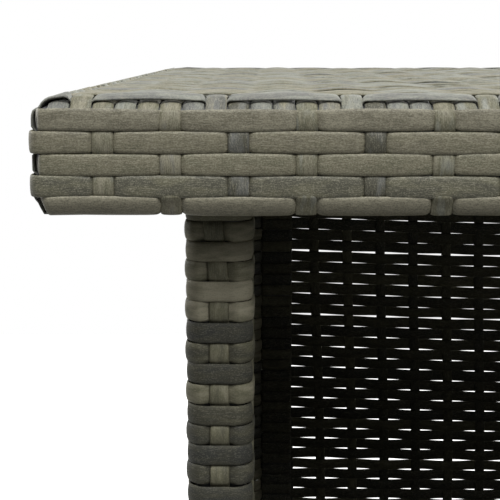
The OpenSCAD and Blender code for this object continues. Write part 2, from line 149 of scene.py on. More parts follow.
class BarTableColours(bpy.types.PropertyGroup):
    """The colours of the strips, the hard finishes and the floor"""

    warm: colour_property("Warm", "Brown grey of the apron's middle rows", "#777360")
    taupe: colour_property("Taupe", "Brown grey of the apron's first row", "#6f6b5b")
    # Pale is also the lowest apron row's tone, and there its paleness is painted light from below
    pale: colour_property("Pale", "Pale beige grey of the top and the lowest row", "#868270")
    dim: colour_property("Dim", "Dark grey of the apron's fourth row", "#504f43")
    olive: colour_property("Olive", "Green grey that all strips share", "#6c6a57")
    # Cool and light give the top its cool grey, which is partly painted reflection of the light
    # from above
    cool: colour_property("Cool", "Neutral grey of the top", "#6b6c68")
    light: colour_property("Light", "Pale grey of the top", "#888a81")
    # Sand is the palest tone of the legs' highest rings: painted light in the apron's shadow
    sand: colour_property("Sand", "The legs' palest rings", "#9c9783")
    # Shade and dusk darken the legs' lower rings, partly as painted shade. They also darken the
    # open weave as painted shade inside the table. Shade is also a real tone of a few of the top's
    # stakes
    shade: colour_property("Shade", "Dark brown grey of legs and panels", "#47463b")
    dusk: colour_property("Dusk", "The darkest grey of legs and panels", "#353633")
    dark_fibre: colour_property("Dark fibre", "Dark streaks in every strip", "#3a382e")
    light_fibre: colour_property("Light fibre", "Light specks in every strip", "#a9a592")
    steel_coat: colour_property("Steel coat", "Powder coat of the tubes", "#2c2d2e")
    foot_black: colour_property("Foot black", "Plastic of the feet and bushes", "#1c1d1e")
    zinc_grey: colour_property("Zinc grey", "Plating of the screws and nuts", "#b4b6b8")
    floor_white: colour_property("Floor white", "The floor to the camera", "#e6e6e4")
    floor_shade: colour_property("Floor shade", "The floor to other light", "#666664")


class BarTableCloseWeave(bpy.types.PropertyGroup):
    """The close weave on the top, the apron and the legs"""

    strip_width: length_property("Strip width", "Width of one flat strip", 7.78)
    strip_thickness: length_property("Strip thickness", "Thickness at a strip's edges", 1.05)
    crown: length_property("Crown", "How much thicker a strip is in its middle", 0.2)
    corner_rise: length_property("Corner rise", "Extra height of a row over a corner", 0.55)
    bend_rise: length_property("Bend rise", "Extra height of a stake over the lowest row", 2.9)
    pop_rise: length_property("Pop rise", "Extra height of a stake over a row of the top", 0.45)
    edge_dome: length_property("Edge dome", "Extra crown of a strip over the top's edge", 0.4)
    under_level: length_property("Under level", "Height of a strip that lies underneath", 0.05)
    over_level: length_property("Over level", "Height of a strip that floats over another", 1.32)
    float_bulge: length_property("Float bulge", "Rise in the middle of the apron's floats", 0.28)
    edge_bulge: length_property("Edge bulge", "Rise in the middle of the first row's floats", 1.5)
    top_bulge: length_property("Top bulge", "Rise in the middle of the top's floats", 1.25)
    float_gain: length_property("Float gain", "Extra width in the middle of a float", 0.45)
    float_pinch: length_property("Float pinch", "Width that a float loses at its ends", 0.65)
    tube_radius: length_property("Tube radius", "Outer corner radius of the top's tubes", 5)
    lip: length_property("Lip", "How far the apron's strips go in under the tube", 20)
    end_margin: length_property("End margin", "Tube face to the middle of the first stake", 7.7)
    apron_pitch: length_property("Apron pitch", "Distance between apron rows", 8.0)
    first_row_drop: length_property("First row drop", "Tube top to the first row's edge", 1.1)
    top_lift: length_property("Top lift", "Rise of the top's middle over its edge", 0.9)
    end_gain: length_property("End gain", "Extra width where strips bend down an end", 0.9)
    stakes_long: IntProperty(name="Long stakes", description="Stakes on a long side", default=120)
    stakes_short: IntProperty(name="Short stakes", description="Stakes on an end", default=60)
    edge_tilt: angle_property("Edge tilt", "Slope of the top's first row", 14)
    float_tilt: angle_property("Float tilt", "How far the top's floats lie askew", 4)


class BarTableLegWeave(bpy.types.PropertyGroup):
    """The weave round the legs"""

    stake_width: length_property("Stake width", "Width of the strip down each face", 8.0)
    under_level: length_property("Under level", "Height of a strip that lies underneath", 0.75)
    over_level: length_property("Over level", "Height of a strip over another", 2.45)
    corner_level: length_property("Corner level", "Height of a ring at the leg's corners", 2.95)
    ring_crown: length_property("Ring crown", "How much thicker a ring is in its middle", 0.45)
    corner_radius: length_property("Corner radius", "How round the rings turn the corners", 5.5)
    upper_pitch: length_property("Upper pitch", "Distance between the highest rings", 8.05)
    lower_pitch: length_property("Lower pitch", "Distance between the other rings", 8.65)
    top_gap: length_property("Top gap", "Sleeve top to the first whole ring", 3.4)


class BarTableOpenWeave(bpy.types.PropertyGroup):
    """The open weave in the panels and shelves"""

    stake_pitch: length_property("Stake pitch", "Distance between stakes", 25.27)
    stake_width: length_property("Stake width", "Width of a stake", 7.4)
    row_pitch: length_property("Row pitch", "Distance between rows", 8.4)
    row_gap: length_property("Row gap", "Gap between rows", 0.32)
    wide_gap: length_property("Wide gap", "Gap where two rows lie further apart", 0.8)
    strip_thickness: length_property("Strip thickness", "Thickness of a strip", 1.15)
    row_sag: length_property("Row sag", "How far the guest panel's rows sag between rails", 7.5)
    stake_lean: length_property("Stake lean", "How far the guest panel's stakes lean over", 8.0)


class BarTableStage(bpy.types.PropertyGroup):
    """Camera and lamps"""

    camera_place: FloatVectorProperty(
        name="Camera place", description="Where the camera stands", size=3,
        default=(-0.4114, -0.664, 1.0672), subtype="TRANSLATION", unit="LENGTH",
    )
    camera_pitch: angle_property("Camera pitch", "How far the camera looks down", 10.1)
    camera_yaw: angle_property("Camera yaw", "How far the camera turns left", 1.04)
    lens: FloatProperty(
        name="Lens", description="Focal length in millimetres on a 36 mm sensor", default=82.94
    )
    overhead_power: power_property("Overhead", "Overhead lamp", 95)
    staff_power: power_property("Staff", "Lamp on the staff side", 36)
    left_power: power_property("Left", "Lamp at the closed end", 45)
    guest_power: power_property("Guest", "Lamp on the guest side", 130)
    world_level: FloatProperty(name="World", description="Light from all round", default=0.04)


def settings(group):
    """A group's settings as plain values, with its lengths in millimetres"""
    source = getattr(bpy.context.scene, group)
    values = {}
    for name in GROUPS[group].__annotations__:
        value = getattr(source, name)
        is_length = source.bl_rna.properties[name].unit == "LENGTH"
        values[name] = value / MM if is_length else value
    return SimpleNamespace(**values)


def box_mm(node):
    """The lowest and highest corners of a CAD node in millimetres"""
    low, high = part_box(node)
    return np.array(low) / MM, np.array(high) / MM


def smooth_step(value, start, end):
    """0 before start, 1 after end, smooth between"""
    share = np.clip((np.asarray(value, float) - start) / (end - start), 0, 1)
    return share * share * (3 - 2 * share)


# The distance to what isn't there, in millimetres: too far to have an effect
FAR = 1e3
# Stations closer together than LEAST_STEP are one. A regular one keeps this share of a step away
# from those that have to be there.
LEAST_STEP = 0.12
CLEAR_SHARE = 0.35


def nearest(stations, centres):
    """Each station's distance to the nearest of the centres"""
    if len(centres) == 0:
        return np.full(len(stations), FAR)
    centres = np.sort(centres)
    after = np.clip(np.searchsorted(centres, stations), 0, len(centres) - 1)
    before = np.clip(after - 1, 0, None)
    return np.minimum(abs(stations - centres[before]), abs(stations - centres[after]))


def close_to(stations, centres, start, end):
    """1 within start of the nearest of the centres, 0 beyond end, smooth between"""
    return 1 - smooth_step(nearest(stations, centres), start, end)


def outside(stations, spans):
    """Each station's distance to the nearest of the spans, 0 inside one"""
    distances = [np.maximum(np.maximum(a - stations, stations - b), 0) for a, b in spans]
    return np.min([np.full(len(stations), FAR)] + distances, axis=0)


def merge_stations(start, end, step, centres=(), offsets=(), extra=()):
    """Stations from start to end: regular ones, some round each centre, and the extra ones"""
    exact = [np.asarray(extra, float)] + [c + np.asarray(offsets, float) for c in centres]
    exact = np.concatenate([[start, end]] + exact)
    exact = exact[(exact >= start) & (exact <= end)]
    regular = np.arange(start + step, end, step)
    regular = regular[nearest(regular, exact) > CLEAR_SHARE * step]
    every = np.sort(np.concatenate([exact, regular]))
    return every[np.concatenate([[True], np.diff(every) > LEAST_STEP])]


def twice_round(places, total):
    """Places on a closed line of this length, and the same ones a round later"""
    places = np.asarray(places, float)
    return np.concatenate([places, places + total])


class Outline:
    """A line with rounded corners in a plan, and the direction out of it at each station.

    Stations are distances along the middle of the weave, level above the line.
    """

    def __init__(self, corners, radius, closed, hand=1, level=0.0, arc_steps=8):
        corners = np.array(corners, float)
        count = len(corners)
        places, outward, self.side_index, self.arcs = [], [], [], []
        for i in range(count):
            inner = closed or 0 < i < count - 1
            after = corners[(i + 1) % count] - corners[i] if closed or i < count - 1 else None
            before = corners[i] - corners[i - 1] if closed or i > 0 else None
            ways = [w / np.linalg.norm(w) for w in (before, after) if w is not None]
            outs = [hand * np.array((w[1], -w[0])) for w in ways]
            if not inner:
                places.append(corners[i])
                outward.append(outs[0])
                self.side_index.append(len(places) - 1)
                continue
            turn = math.acos(np.clip(ways[0] @ ways[1], -1, 1))
            centre = corners[i] - ways[0] * radius * math.tan(turn / 2) - outs[0] * radius
            first = len(places)
            for share in np.linspace(0, 1, arc_steps + 1):
                way = (
                    outs[0] * math.sin((1 - share) * turn) + outs[1] * math.sin(share * turn)
                ) / math.sin(turn)
                places.append(centre + way * radius)
                outward.append(way)
            self.arcs.append((first, len(places) - 1))
            self.side_index.append(len(places) - 1)
        if closed:
            places.append(places[0])
            outward.append(outward[0])
        self.places, self.outward, self.closed = np.array(places), np.array(outward), closed
        middle = self.places + self.outward * level
        steps = np.linalg.norm(np.diff(middle, axis=0), axis=1)
        self.stations = np.concatenate([[0], np.cumsum(steps)])
        self.total = self.stations[-1]

    def at(self, stations):
        """The places and outward directions at these stations"""
        stations = stations % self.total if self.closed else stations
        place = [np.interp(stations, self.stations, self.places[:, i]) for i in (0, 1)]
        out = np.array([np.interp(stations, self.stations, self.outward[:, i]) for i in (0, 1)])
        return np.array(place).T, (out / np.linalg.norm(out, axis=0)).T

    def on_side(self, side, axis, coordinate):
        """The station on a straight side where one plan coordinate has a given value"""
        index = self.side_index[side]
        way = self.places[index + 1] - self.places[index]
        way = way / np.linalg.norm(way)
        return self.stations[index] + (coordinate - self.places[index][axis]) / way[axis]

    def on_bend(self, bend, share=0.5):
        """The station at a share of the way round a bend"""
        first, last = self.arcs[bend]
        return self.stations[first] + share * (self.stations[last] - self.stations[first])

    def bend_stations(self):
        """The stations that keep every bend round"""
        return np.concatenate([self.stations[a : b + 1] for a, b in self.arcs])


def in_space(plan, along, axes):
    """Plan points and a place along the third axis as points in space"""
    points = np.zeros((len(plan), 3))
    points[:, axes[0]] = plan[:, 0]
    points[:, axes[1]] = plan[:, 1]
    points[:, axes[2]] = along
    return points


def strip_path(outline, stations, level, along, axes, tilt=0.0):
    """The middle line of a strip that follows an outline, with its side and normal directions"""
    place, outward = outline.at(stations)
    out = in_space(outward, 0.0, axes)
    across = np.zeros_like(out)
    across[:, axes[2]] = 1.0
    turn = np.broadcast_to(np.asarray(tilt, float), len(stations))[:, None]
    normal = out * np.cos(turn) - across * np.sin(turn)
    side = across * np.cos(turn) + out * np.sin(turn)
    rise = np.broadcast_to(np.asarray(level, float), len(stations))[:, None]
    centre = in_space(place, along, axes) + normal * rise
    return centre, side, normal


def add_object(name, data):
    """Puts an object with this mesh, lamp or camera into the scene"""
    added = bpy.data.objects.new(name, data)
    bpy.context.scene.collection.objects.link(added)
    return added


# Where in its grain a strip may start, in millimetres, and how much a given tone may differ
GRAIN_START = (0, 4000)
TONE_STRAY = 0.04
# Where a wave may start, in radians
WAVE_START = (0, 6)


class StripMesh:
    """Gathers strips and turns them into one piece of the table"""

    def __init__(self, seed):
        self.random = np.random.default_rng(seed)
        self.points, self.faces, self.marks = [], [], []
        self.count = 0

    def add(self, path, width, thickness, crown, section=CROWNED, curl=0.0, tone=None):
        """Adds one strip. With curl, its section bends round a circle of that radius. Tone is
        its place between its material's tones, drawn at random where none is given."""
        centre, side, normal = path
        rows = len(centre)
        share, body, dome = np.array(section).T
        across = np.broadcast_to(np.asarray(width, float), rows)[:, None] / 2 * share
        lift = body * thickness + dome * np.broadcast_to(crown, rows)[:, None]
        marked = across
        if curl:
            angle = across / curl
            across = (curl + lift) * np.sin(angle)
            lift = lift * np.cos(angle) - curl * (1 - np.cos(angle))
        points = (
            centre[:, None, :]
            + side[:, None, :] * across[..., None]
            + normal[:, None, :] * lift[..., None]
        )
        steps = np.linalg.norm(np.diff(centre, axis=0), axis=1)
        along = np.concatenate([[0], np.cumsum(steps)]) + self.random.uniform(*GRAIN_START)
        shade = self.random.random()
        place = COMMON_TONES * shade if tone is None else tone + TONE_STRAY * (shade - 0.5)
        seed = np.full(across.shape, place)
        marks = np.stack([np.broadcast_to(along[:, None], across.shape), marked, seed], axis=2)
        middle = rows // 2
        way = centre[middle] - centre[middle - 1]
        flip = np.cross(side[middle], way) @ normal[middle] < 0
        self.faces.append(self.strip_faces(rows, len(share), flip) + self.count)
        self.points.append(points.reshape(-1, 3))
        self.marks.append(marks.reshape(-1, 3))
        self.count += points.shape[0] * points.shape[1]

    @staticmethod
    def strip_faces(rows, around, flip):
        """The quads of one closed strip, with both its ends"""
        ring = np.arange(around)
        start = np.arange(rows - 1)[:, None] * around
        after = (ring + 1) % around
        body = np.stack(
            [start + ring, start + after, start + around + after, start + around + ring], axis=2
        ).reshape(-1, 4)
        half = np.arange(around // 2 - 1)
        cap = np.stack([half, half + 1, around - 2 - half, around - 1 - half], axis=1)
        quads = np.concatenate([body, cap[:, ::-1], cap + (rows - 1) * around])
        return quads[:, ::-1] if flip else quads

    def build(self, name, material, replaced):
        """Makes the mesh, which stands for the CAD nodes it replaces"""
        if not self.points:
            raise RuntimeError(f"{name} has no strips")
        faces = np.concatenate(self.faces).astype(np.int32)
        mesh = bpy.data.meshes.new(name)
        mesh.vertices.add(self.count)
        mesh.vertices.foreach_set("co", (np.concatenate(self.points) * MM).ravel())
        mesh.loops.add(faces.size)
        mesh.loops.foreach_set("vertex_index", faces.ravel())
        mesh.polygons.add(len(faces))
        mesh.polygons.foreach_set("loop_start", np.arange(0, faces.size, 4, dtype=np.int32))
        mesh.update(calc_edges=True)
        mesh.shade_smooth()
        strip = mesh.attributes.new("strip", "FLOAT_VECTOR", "POINT")
        strip.data.foreach_set("vector", np.concatenate(self.marks).ravel().astype(np.float32))
        mesh.materials.append(material)
        piece = add_object(name, mesh)
        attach(piece, "root")
        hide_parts(*replaced)


def add_node(tree, kind, links=None, **values):
    """Adds a shader node. Links name an input and give it a constant, another node's output,
    or another node, which stands for its first output."""
    node = tree.nodes.new("ShaderNode" + kind)
    for key, value in values.items():
        setattr(node, key, value)
    for key, value in (links or {}).items():
        if isinstance(value, bpy.types.Node):
            value = value.outputs[0]
        if isinstance(value, bpy.types.NodeSocket):
            tree.links.new(value, node.inputs[key])
        else:
            node.inputs[key].default_value = value
    return node


def new_material(name):
    """An empty node material, with its tree and output"""
    material = bpy.data.materials.new(name)
    material.use_nodes = True
    material.node_tree.nodes.clear()
    return material, material.node_tree


# How far apart in the noise two strips may lie, and how much a strip's tone drifts either way
NOISE_REACH = 97.0
CLOUD_TONE = 0.16


def woven_strip_material(name, tones, grain_strength, shine):
    """Extruded polyethylene strip, brushed along its length while it was drawn.

    To the eye it is a matt plastic with fine lengthwise streaks and specks, and every length
    of strip has its own tone. Its brushed face breaks up reflections, so its shine is less
    than a smooth plastic's.
    """
    found = bpy.data.materials.get(name)
    if found:
        return found
    colours = bpy.context.scene.bar_table_colours
    material, tree = new_material(name)
    mark = add_node(tree, "Attribute", attribute_name="strip")
    parts = add_node(tree, "SeparateXYZ", {"Vector": mark.outputs["Vector"]})
    along, across, seed = parts.outputs
    shift = add_node(tree, "Math", {0: seed, 1: NOISE_REACH}, operation="MULTIPLY")

    def pattern(along_scale, across_scale, detail):
        """Noise stretched along the strip: one cell is 1 / scale millimetres long or wide"""
        length, breadth = (
            add_node(tree, "Math", {0: way, 1: scale}, operation="MULTIPLY")
            for way, scale in ((along, along_scale), (across, across_scale))
        )
        place = add_node(tree, "CombineXYZ", {0: length, 1: breadth, 2: shift})
        return add_node(
            tree, "TexNoise", {"Vector": place, "Scale": 1.0, "Detail": detail, "Roughness": 0.6}
        )

    # Fibres about 2.5 mm long and 0.3 mm wide, flecks of half a millimetre, slow clouds
    fibres = pattern(0.4, 3.2, 2.0)
    flecks = pattern(1.7, 2.6, 1.0)
    clouds = pattern(0.09, 0.3, 1.0)
    drift = add_node(
        tree, "MapRange",
        {"Value": clouds, "From Min": 0.3, "From Max": 0.7,
         "To Min": -CLOUD_TONE, "To Max": CLOUD_TONE},
    )
    tone = add_node(tree, "Math", {0: seed, 1: drift}, operation="ADD")
    ramp = add_node(tree, "ValToRGB", {"Fac": tone})
    ramp.color_ramp.elements[0].color = tones[0]
    ramp.color_ramp.elements[1].color = tones[-1]
    for i, colour in enumerate(tones[1:-1], 1):
        ramp.color_ramp.elements.new(i / (len(tones) - 1)).color = colour
    # The grain's low values darken the tone to the dark fibre, its high ones lighten it
    grain = add_node(tree, "Mix", {0: 0.5, 2: fibres, 3: flecks})
    base = ramp.outputs[0]
    for low, high, at_low, at_high, fibre in (
        (0.36, 0.5, grain_strength, 0.0, colours.dark_fibre),
        (0.5, 0.66, 0.0, grain_strength, colours.light_fibre),
    ):
        share = add_node(
            tree, "MapRange",
            {"Value": grain, "From Min": low, "From Max": high,
             "To Min": at_low, "To Max": at_high},
        )
        base = add_node(tree, "Mix", {0: share, 6: base, 7: fibre}, data_type="RGBA").outputs[2]
    bump = add_node(tree, "Bump", {"Height": fibres, "Strength": 0.5, "Distance": 0.12 * MM})
    shader = add_node(
        tree, "BsdfPrincipled",
        {"Base Color": base, "Roughness": 0.55, "IOR": 1.5, "Specular IOR Level": shine,
         "Normal": bump},
    )
    add_node(tree, "OutputMaterial", {"Surface": shader})
    return material


def top_strip_material():
    """The strip of the top and of the stakes down its apron. Its cool grey tones are partly the
    strips' own and partly painted reflection of the light from above
    """
    colours = bpy.context.scene.bar_table_colours
    tones = (
        colours.cool, colours.light, colours.olive, colours.pale, colours.cool, colours.shade
    )
    return woven_strip_material("woven_polyethylene_top", tones, grain_strength=0.45, shine=0.3)


def apron_strip_material():
    """The strip round the apron, warmer than the top's. The top's cooler tones are partly painted
    reflection of the light from above
    """
    colours = bpy.context.scene.bar_table_colours
    tones = (colours.dim, colours.olive, colours.warm, colours.taupe, colours.pale)
    return woven_strip_material("woven_polyethylene_apron", tones, grain_strength=0.55, shine=0.35)


def leg_strip_material():
    """The strip round the legs and rails, which differs most from length to length. Its palest tone
    is painted light on the legs' highest rings, and its dark tones are partly painted shade lower
    down
    """
    colours = bpy.context.scene.bar_table_colours
    tones = (colours.dusk, colours.shade, colours.olive, colours.sand)
    return woven_strip_material("woven_polyethylene_leg", tones, grain_strength=0.24, shine=0.15)


def open_strip_material_painted_shade():
    """The strip of the panels and shelves, of the same make but with only the dark and middle
    tones: painted shade, for the shade inside the table
    """
    colours = bpy.context.scene.bar_table_colours
    tones = (colours.dusk, colours.shade, colours.olive)
    return woven_strip_material("woven_polyethylene_open", tones, grain_strength=0.4, shine=0.04)


def grained_material(name, colour, roughness, metallic, grain_mm, grain_depth, tone_change):
    """A plain finish with a fine grain and patches that are up to tone_change darker"""
    material, tree = new_material(name)
    place = add_node(tree, "TexCoord").outputs["Object"]
    grain, patch = (
        add_node(tree, "TexNoise", {"Vector": place, "Scale": 1 / (size * MM), "Detail": detail})
        for size, detail in ((grain_mm, 2.0), (40, 3.0))
    )
    share = add_node(
        tree, "MapRange",
        {"Value": patch, "From Min": 0.3, "From Max": 0.7, "To Min": 0.0, "To Max": tone_change},
    )
    darker = [level * 0.55 for level in colour[:3]] + [1.0]
    mixed = add_node(tree, "Mix", {0: share, 6: colour, 7: darker}, data_type="RGBA")
    bump = add_node(tree, "Bump", {"Height": grain, "Strength": 0.4, "Distance": grain_depth * MM})
    shader = add_node(
        tree, "BsdfPrincipled",
        {"Base Color": mixed.outputs[2], "Roughness": roughness, "Metallic": metallic,
         "Normal": bump},
    )
    add_node(tree, "OutputMaterial", {"Surface": shader})
    return material


def powder_coated_steel():
    """Steel tube in a baked polyester powder coat: dark grey, satin, faintly orange-peeled"""
    return grained_material(
        "powder_coated_steel", bpy.context.scene.bar_table_colours.steel_coat,
        roughness=0.42, metallic=0.0, grain_mm=0.9, grain_depth=0.05, tone_change=0.25,
    )


def moulded_polyethylene():
    """Injection-moulded polyethylene with a spark-eroded grain: black and matt"""
    return grained_material(
        "moulded_polyethylene", bpy.context.scene.bar_table_colours.foot_black,
        roughness=0.6, metallic=0.0, grain_mm=0.35, grain_depth=0.04, tone_change=0.2,
    )


def zinc_plated_steel():
    """Cold-formed steel with bright zinc plating: pale metal, slightly cloudy"""
    return grained_material(
        "zinc_plated_steel", bpy.context.scene.bar_table_colours.zinc_grey,
        roughness=0.32, metallic=1.0, grain_mm=0.5, grain_depth=0.02, tone_change=0.3,
    )


def top_weave_crosses(row, stake):
    """True where a crosswise strip of the top comes up over a lengthwise one"""
    return (stake - 1 - REPEAT // 2 * (row % 2)) % REPEAT == 0


def ring_crosses(row, place):
    """True where a stake comes up over a row of the apron. Places count round the table."""
    return (place - 2 - REPEAT // 2 * (row % 2)) % REPEAT == 0


# How far in from the table's faces the lip's first row lies, and how far the next one from it
LIP_INSET = 8.1
LIP_PITCH = 8.2
# Where a strip that crosses the lowest row climbs round its lower edge and comes down again,
# and where and how far it stands off from the row's face, in millimetres along the strip from
# the start of the bend
BEND_CLIMB = (-1.8, 0.4)
BEND_FALL = (1.2, 5.2)
BEND_FACE = 5.5
BEND_FACE_FLANK = (3.0, 5.6)
BEND_FACE_RISE = 0.7


class TopLayout:
    """Where the strips of the top and its apron lie, from the CAD's tubes"""

    def __init__(self):
        weave = settings("bar_table_close")
        low, high = box_mm("top_frame_staff_tube")
        self.weave = weave
        self.half_x, self.half_y = high[0], -low[1]
        self.bottom, self.top = low[2], high[2]
        margin = weave.end_margin
        self.count_x, self.count_y = weave.stakes_long, weave.stakes_short
        self.stakes_x = np.linspace(margin - self.half_x, self.half_x - margin, self.count_x)
        self.stakes_y = np.linspace(margin - self.half_y, self.half_y - margin, self.count_y)
        first = self.top - weave.first_row_drop - weave.apron_pitch / 2
        self.row_heights = {row: first - (row - 1) * weave.apron_pitch for row in APRON_ROWS}
        self.row_insets = {row: LIP_INSET + (row - UNDER_ROWS[0]) * LIP_PITCH for row in UNDER_ROWS}

    def wrapped_outline(self, half):
        """The line of a strip that runs over the top and down both aprons to their lips"""
        corners = [
            (self.weave.lip - half, self.bottom),
            (-half, self.bottom),
            (-half, self.top),
            (half, self.top),
            (half, self.bottom),
            (half - self.weave.lip, self.bottom),
        ]
        return Outline(corners, self.weave.tube_radius, False, hand=-1, level=self.weave.over_level)

    def row_station(self, outline, row):
        """Where a wrapped strip meets an apron row on its first side"""
        if row in APRON_ROWS:
            return outline.on_side(1, 1, self.row_heights[row])
        if row == BEND_ROW:
            return outline.on_bend(0)
        return self.weave.lip - self.row_insets[row]

    def apron_places(self, along_x, index):
        """The places round the table of a wrapped strip's first and second ends"""
        if along_x:
            return 2 * (self.count_x + self.count_y) - 1 - index, self.count_x + index
        return index, self.count_y + 2 * self.count_x - 1 - index

    def apron_stations(self, outline, along_x, index):
        """Where a wrapped strip comes up over apron rows, at both its ends"""
        rows = APRON_ROWS + (BEND_ROW,) + UNDER_ROWS
        first, second = self.apron_places(along_x, index)
        near = [self.row_station(outline, r) for r in rows if ring_crosses(r, first)]
        far = [
            outline.total - self.row_station(outline, r) for r in rows if ring_crosses(r, second)
        ]
        return near + far

    def bend_rise(self, stations, outline, along_x, index):
        """How much higher a wrapped strip stands where it goes round the lowest row's edge"""
        rise = np.zeros(len(stations))
        ends = zip(self.apron_places(along_x, index), (stations, outline.total - stations))
        for place, way in ends:
            if ring_crosses(BEND_ROW, place):
                inward = way - outline.on_bend(0, 0)
                edge = smooth_step(inward, *BEND_CLIMB) * (1 - smooth_step(inward, *BEND_FALL))
                face = 1 - smooth_step(abs(inward - BEND_FACE), *BEND_FACE_FLANK)
                rise = rise + self.weave.bend_rise * edge + BEND_FACE_RISE * face
        return rise

    def lift(self, centre, normal, axis, half, start, end):
        """Raises the middle of the top over its edge, from start to end in from the edge"""
        inset = half - abs(centre[:, axis])
        rise = smooth_step(inset, start, end) * (normal[:, 2] > 0.5)
        centre[:, 2] += self.weave.top_lift * rise
        return centre


# Distances from a crossing's middle between which a strip changes: where a float has dipped
# under and is up again, where it is pinched, and where a stake is up and down again
DIP_FLANK = (3.0, 5.5)
PINCH_FLANK = (3.6, 8.5)
POP_FLANK = (2.6, 5.0)
# How flat the top's floats stay up to their middle, where a stiff stake lifts them
STIFF_PEAK = 6
# How much the floats' bulges and widths differ, and the strips' places
BULGE_SHARES = (0.6, 1.0)
WIDTH_STRAY = 0.05
PLACE_STRAY = 0.06

# Where a strip needs stations round the middle of a crossing, a float or a bend
FLOAT_OFFSETS = (-6.6, -5.5, -4.8, -4.1, -3.5, -2.9, 0, 2.9, 3.5, 4.1, 4.8, 5.5, 6.6)
CREST_OFFSETS = (-13, -10, -7, -4, 0, 4, 7, 10, 13)
POP_OFFSETS = (-5.0, -4.3, -3.6, -2.7, 0, 2.7, 3.6, 4.3, 5.0)
APRON_OFFSETS = FLOAT_OFFSETS + (-9.0, 9.0)
UNDER_BEND_OFFSETS = np.array((-2.0, -1.4, -0.9, -0.4))
LEG_STAKE_OFFSETS = (-5.4, -4.6, -3.8, -2.6, 0, 2.6, 3.8, 4.6, 5.4)
RING_OFFSETS = (-8.2, -7.2, -6.2, -5.2, -4.4, -3.8, -2.0, 0, 2.0, 3.8, 4.4, 5.2, 6.2, 7.2, 8.2)


def float_shape(stations, dips, start, end, weave, random, bulge, peak=1):
    """Level and width of a strip that floats between its dips. A high peak keeps the float
    flat up to its middle, where a stiff stake of the next rows lifts it."""
    over, under = weave.over_level, weave.under_level
    away = smooth_step(nearest(stations, dips), *DIP_FLANK)
    bounds = np.concatenate([[start], np.sort(dips), [end]])
    index = np.clip(np.searchsorted(bounds, stations, side="right") - 1, 0, len(bounds) - 2)
    share = (stations - bounds[index]) / np.maximum(bounds[index + 1] - bounds[index], 1e-6)
    share = np.clip(share, 0, 1)
    arch = 4 * share * (1 - share)
    rise = bulge * random.uniform(*BULGE_SHARES, len(bounds))[index]
    level = under + (over - under) * away + rise * arch**peak * away
    width = (
        weave.strip_width
        + weave.float_gain * arch**2
        - weave.float_pinch * close_to(stations, dips, *PINCH_FLANK)
        + random.normal(0, WIDTH_STRAY, len(bounds))[index]
    )
    return level, width


def pop_shape(stations, pops, over, under, flank=POP_FLANK):
    """Level of a strip that lies underneath and comes up at its pops"""
    return over - (over - under) * smooth_step(nearest(stations, pops), *flank)


def by_edge(index, count):
    """True for the first two and the last two of so many strips"""
    return not 2 <= index < count - 2


# Millimetres between stations where nothing happens to a strip
FLOAT_STEP = 12
STAKE_STEP = 60
ROW_STEP = 9
LIP_STEP = 14
LEG_STEP = 30

# Near an end of the top, in millimetres in from where its flat face begins: where a lengthwise
# strip changes from its level on the end to that on the top, is wider, and gets its slope
END_TO_TOP = (-8, -2)
END_WIDE = 1
END_WIDE_FLANK = (4, 11)
END_SLOPE = (0, 8)
# Distances from a dip between which a float gets its slope
SLOPE_FLANK = (3.0, 6.0)
# In from the ends, and from the long sides, where the top rises to its full height
END_LIFT = (0.5, 6)
SIDE_LIFT = (4, 13)
# The row of the top along each long side: how much higher it stands where it comes up over the
# end's rows, how far out it lies, how much of the top's rise it has, and its tone
EDGE_POP_RISE = 0.5
EDGE_OUT = 0.4
EDGE_LIFT = 0.4
EDGE_TONE = 0.05
# How far this row and the next one go in under the end tubes
EDGE_TUCK = 5
# The darkest tone of the top's other rows
ROW_TONES = 0.55


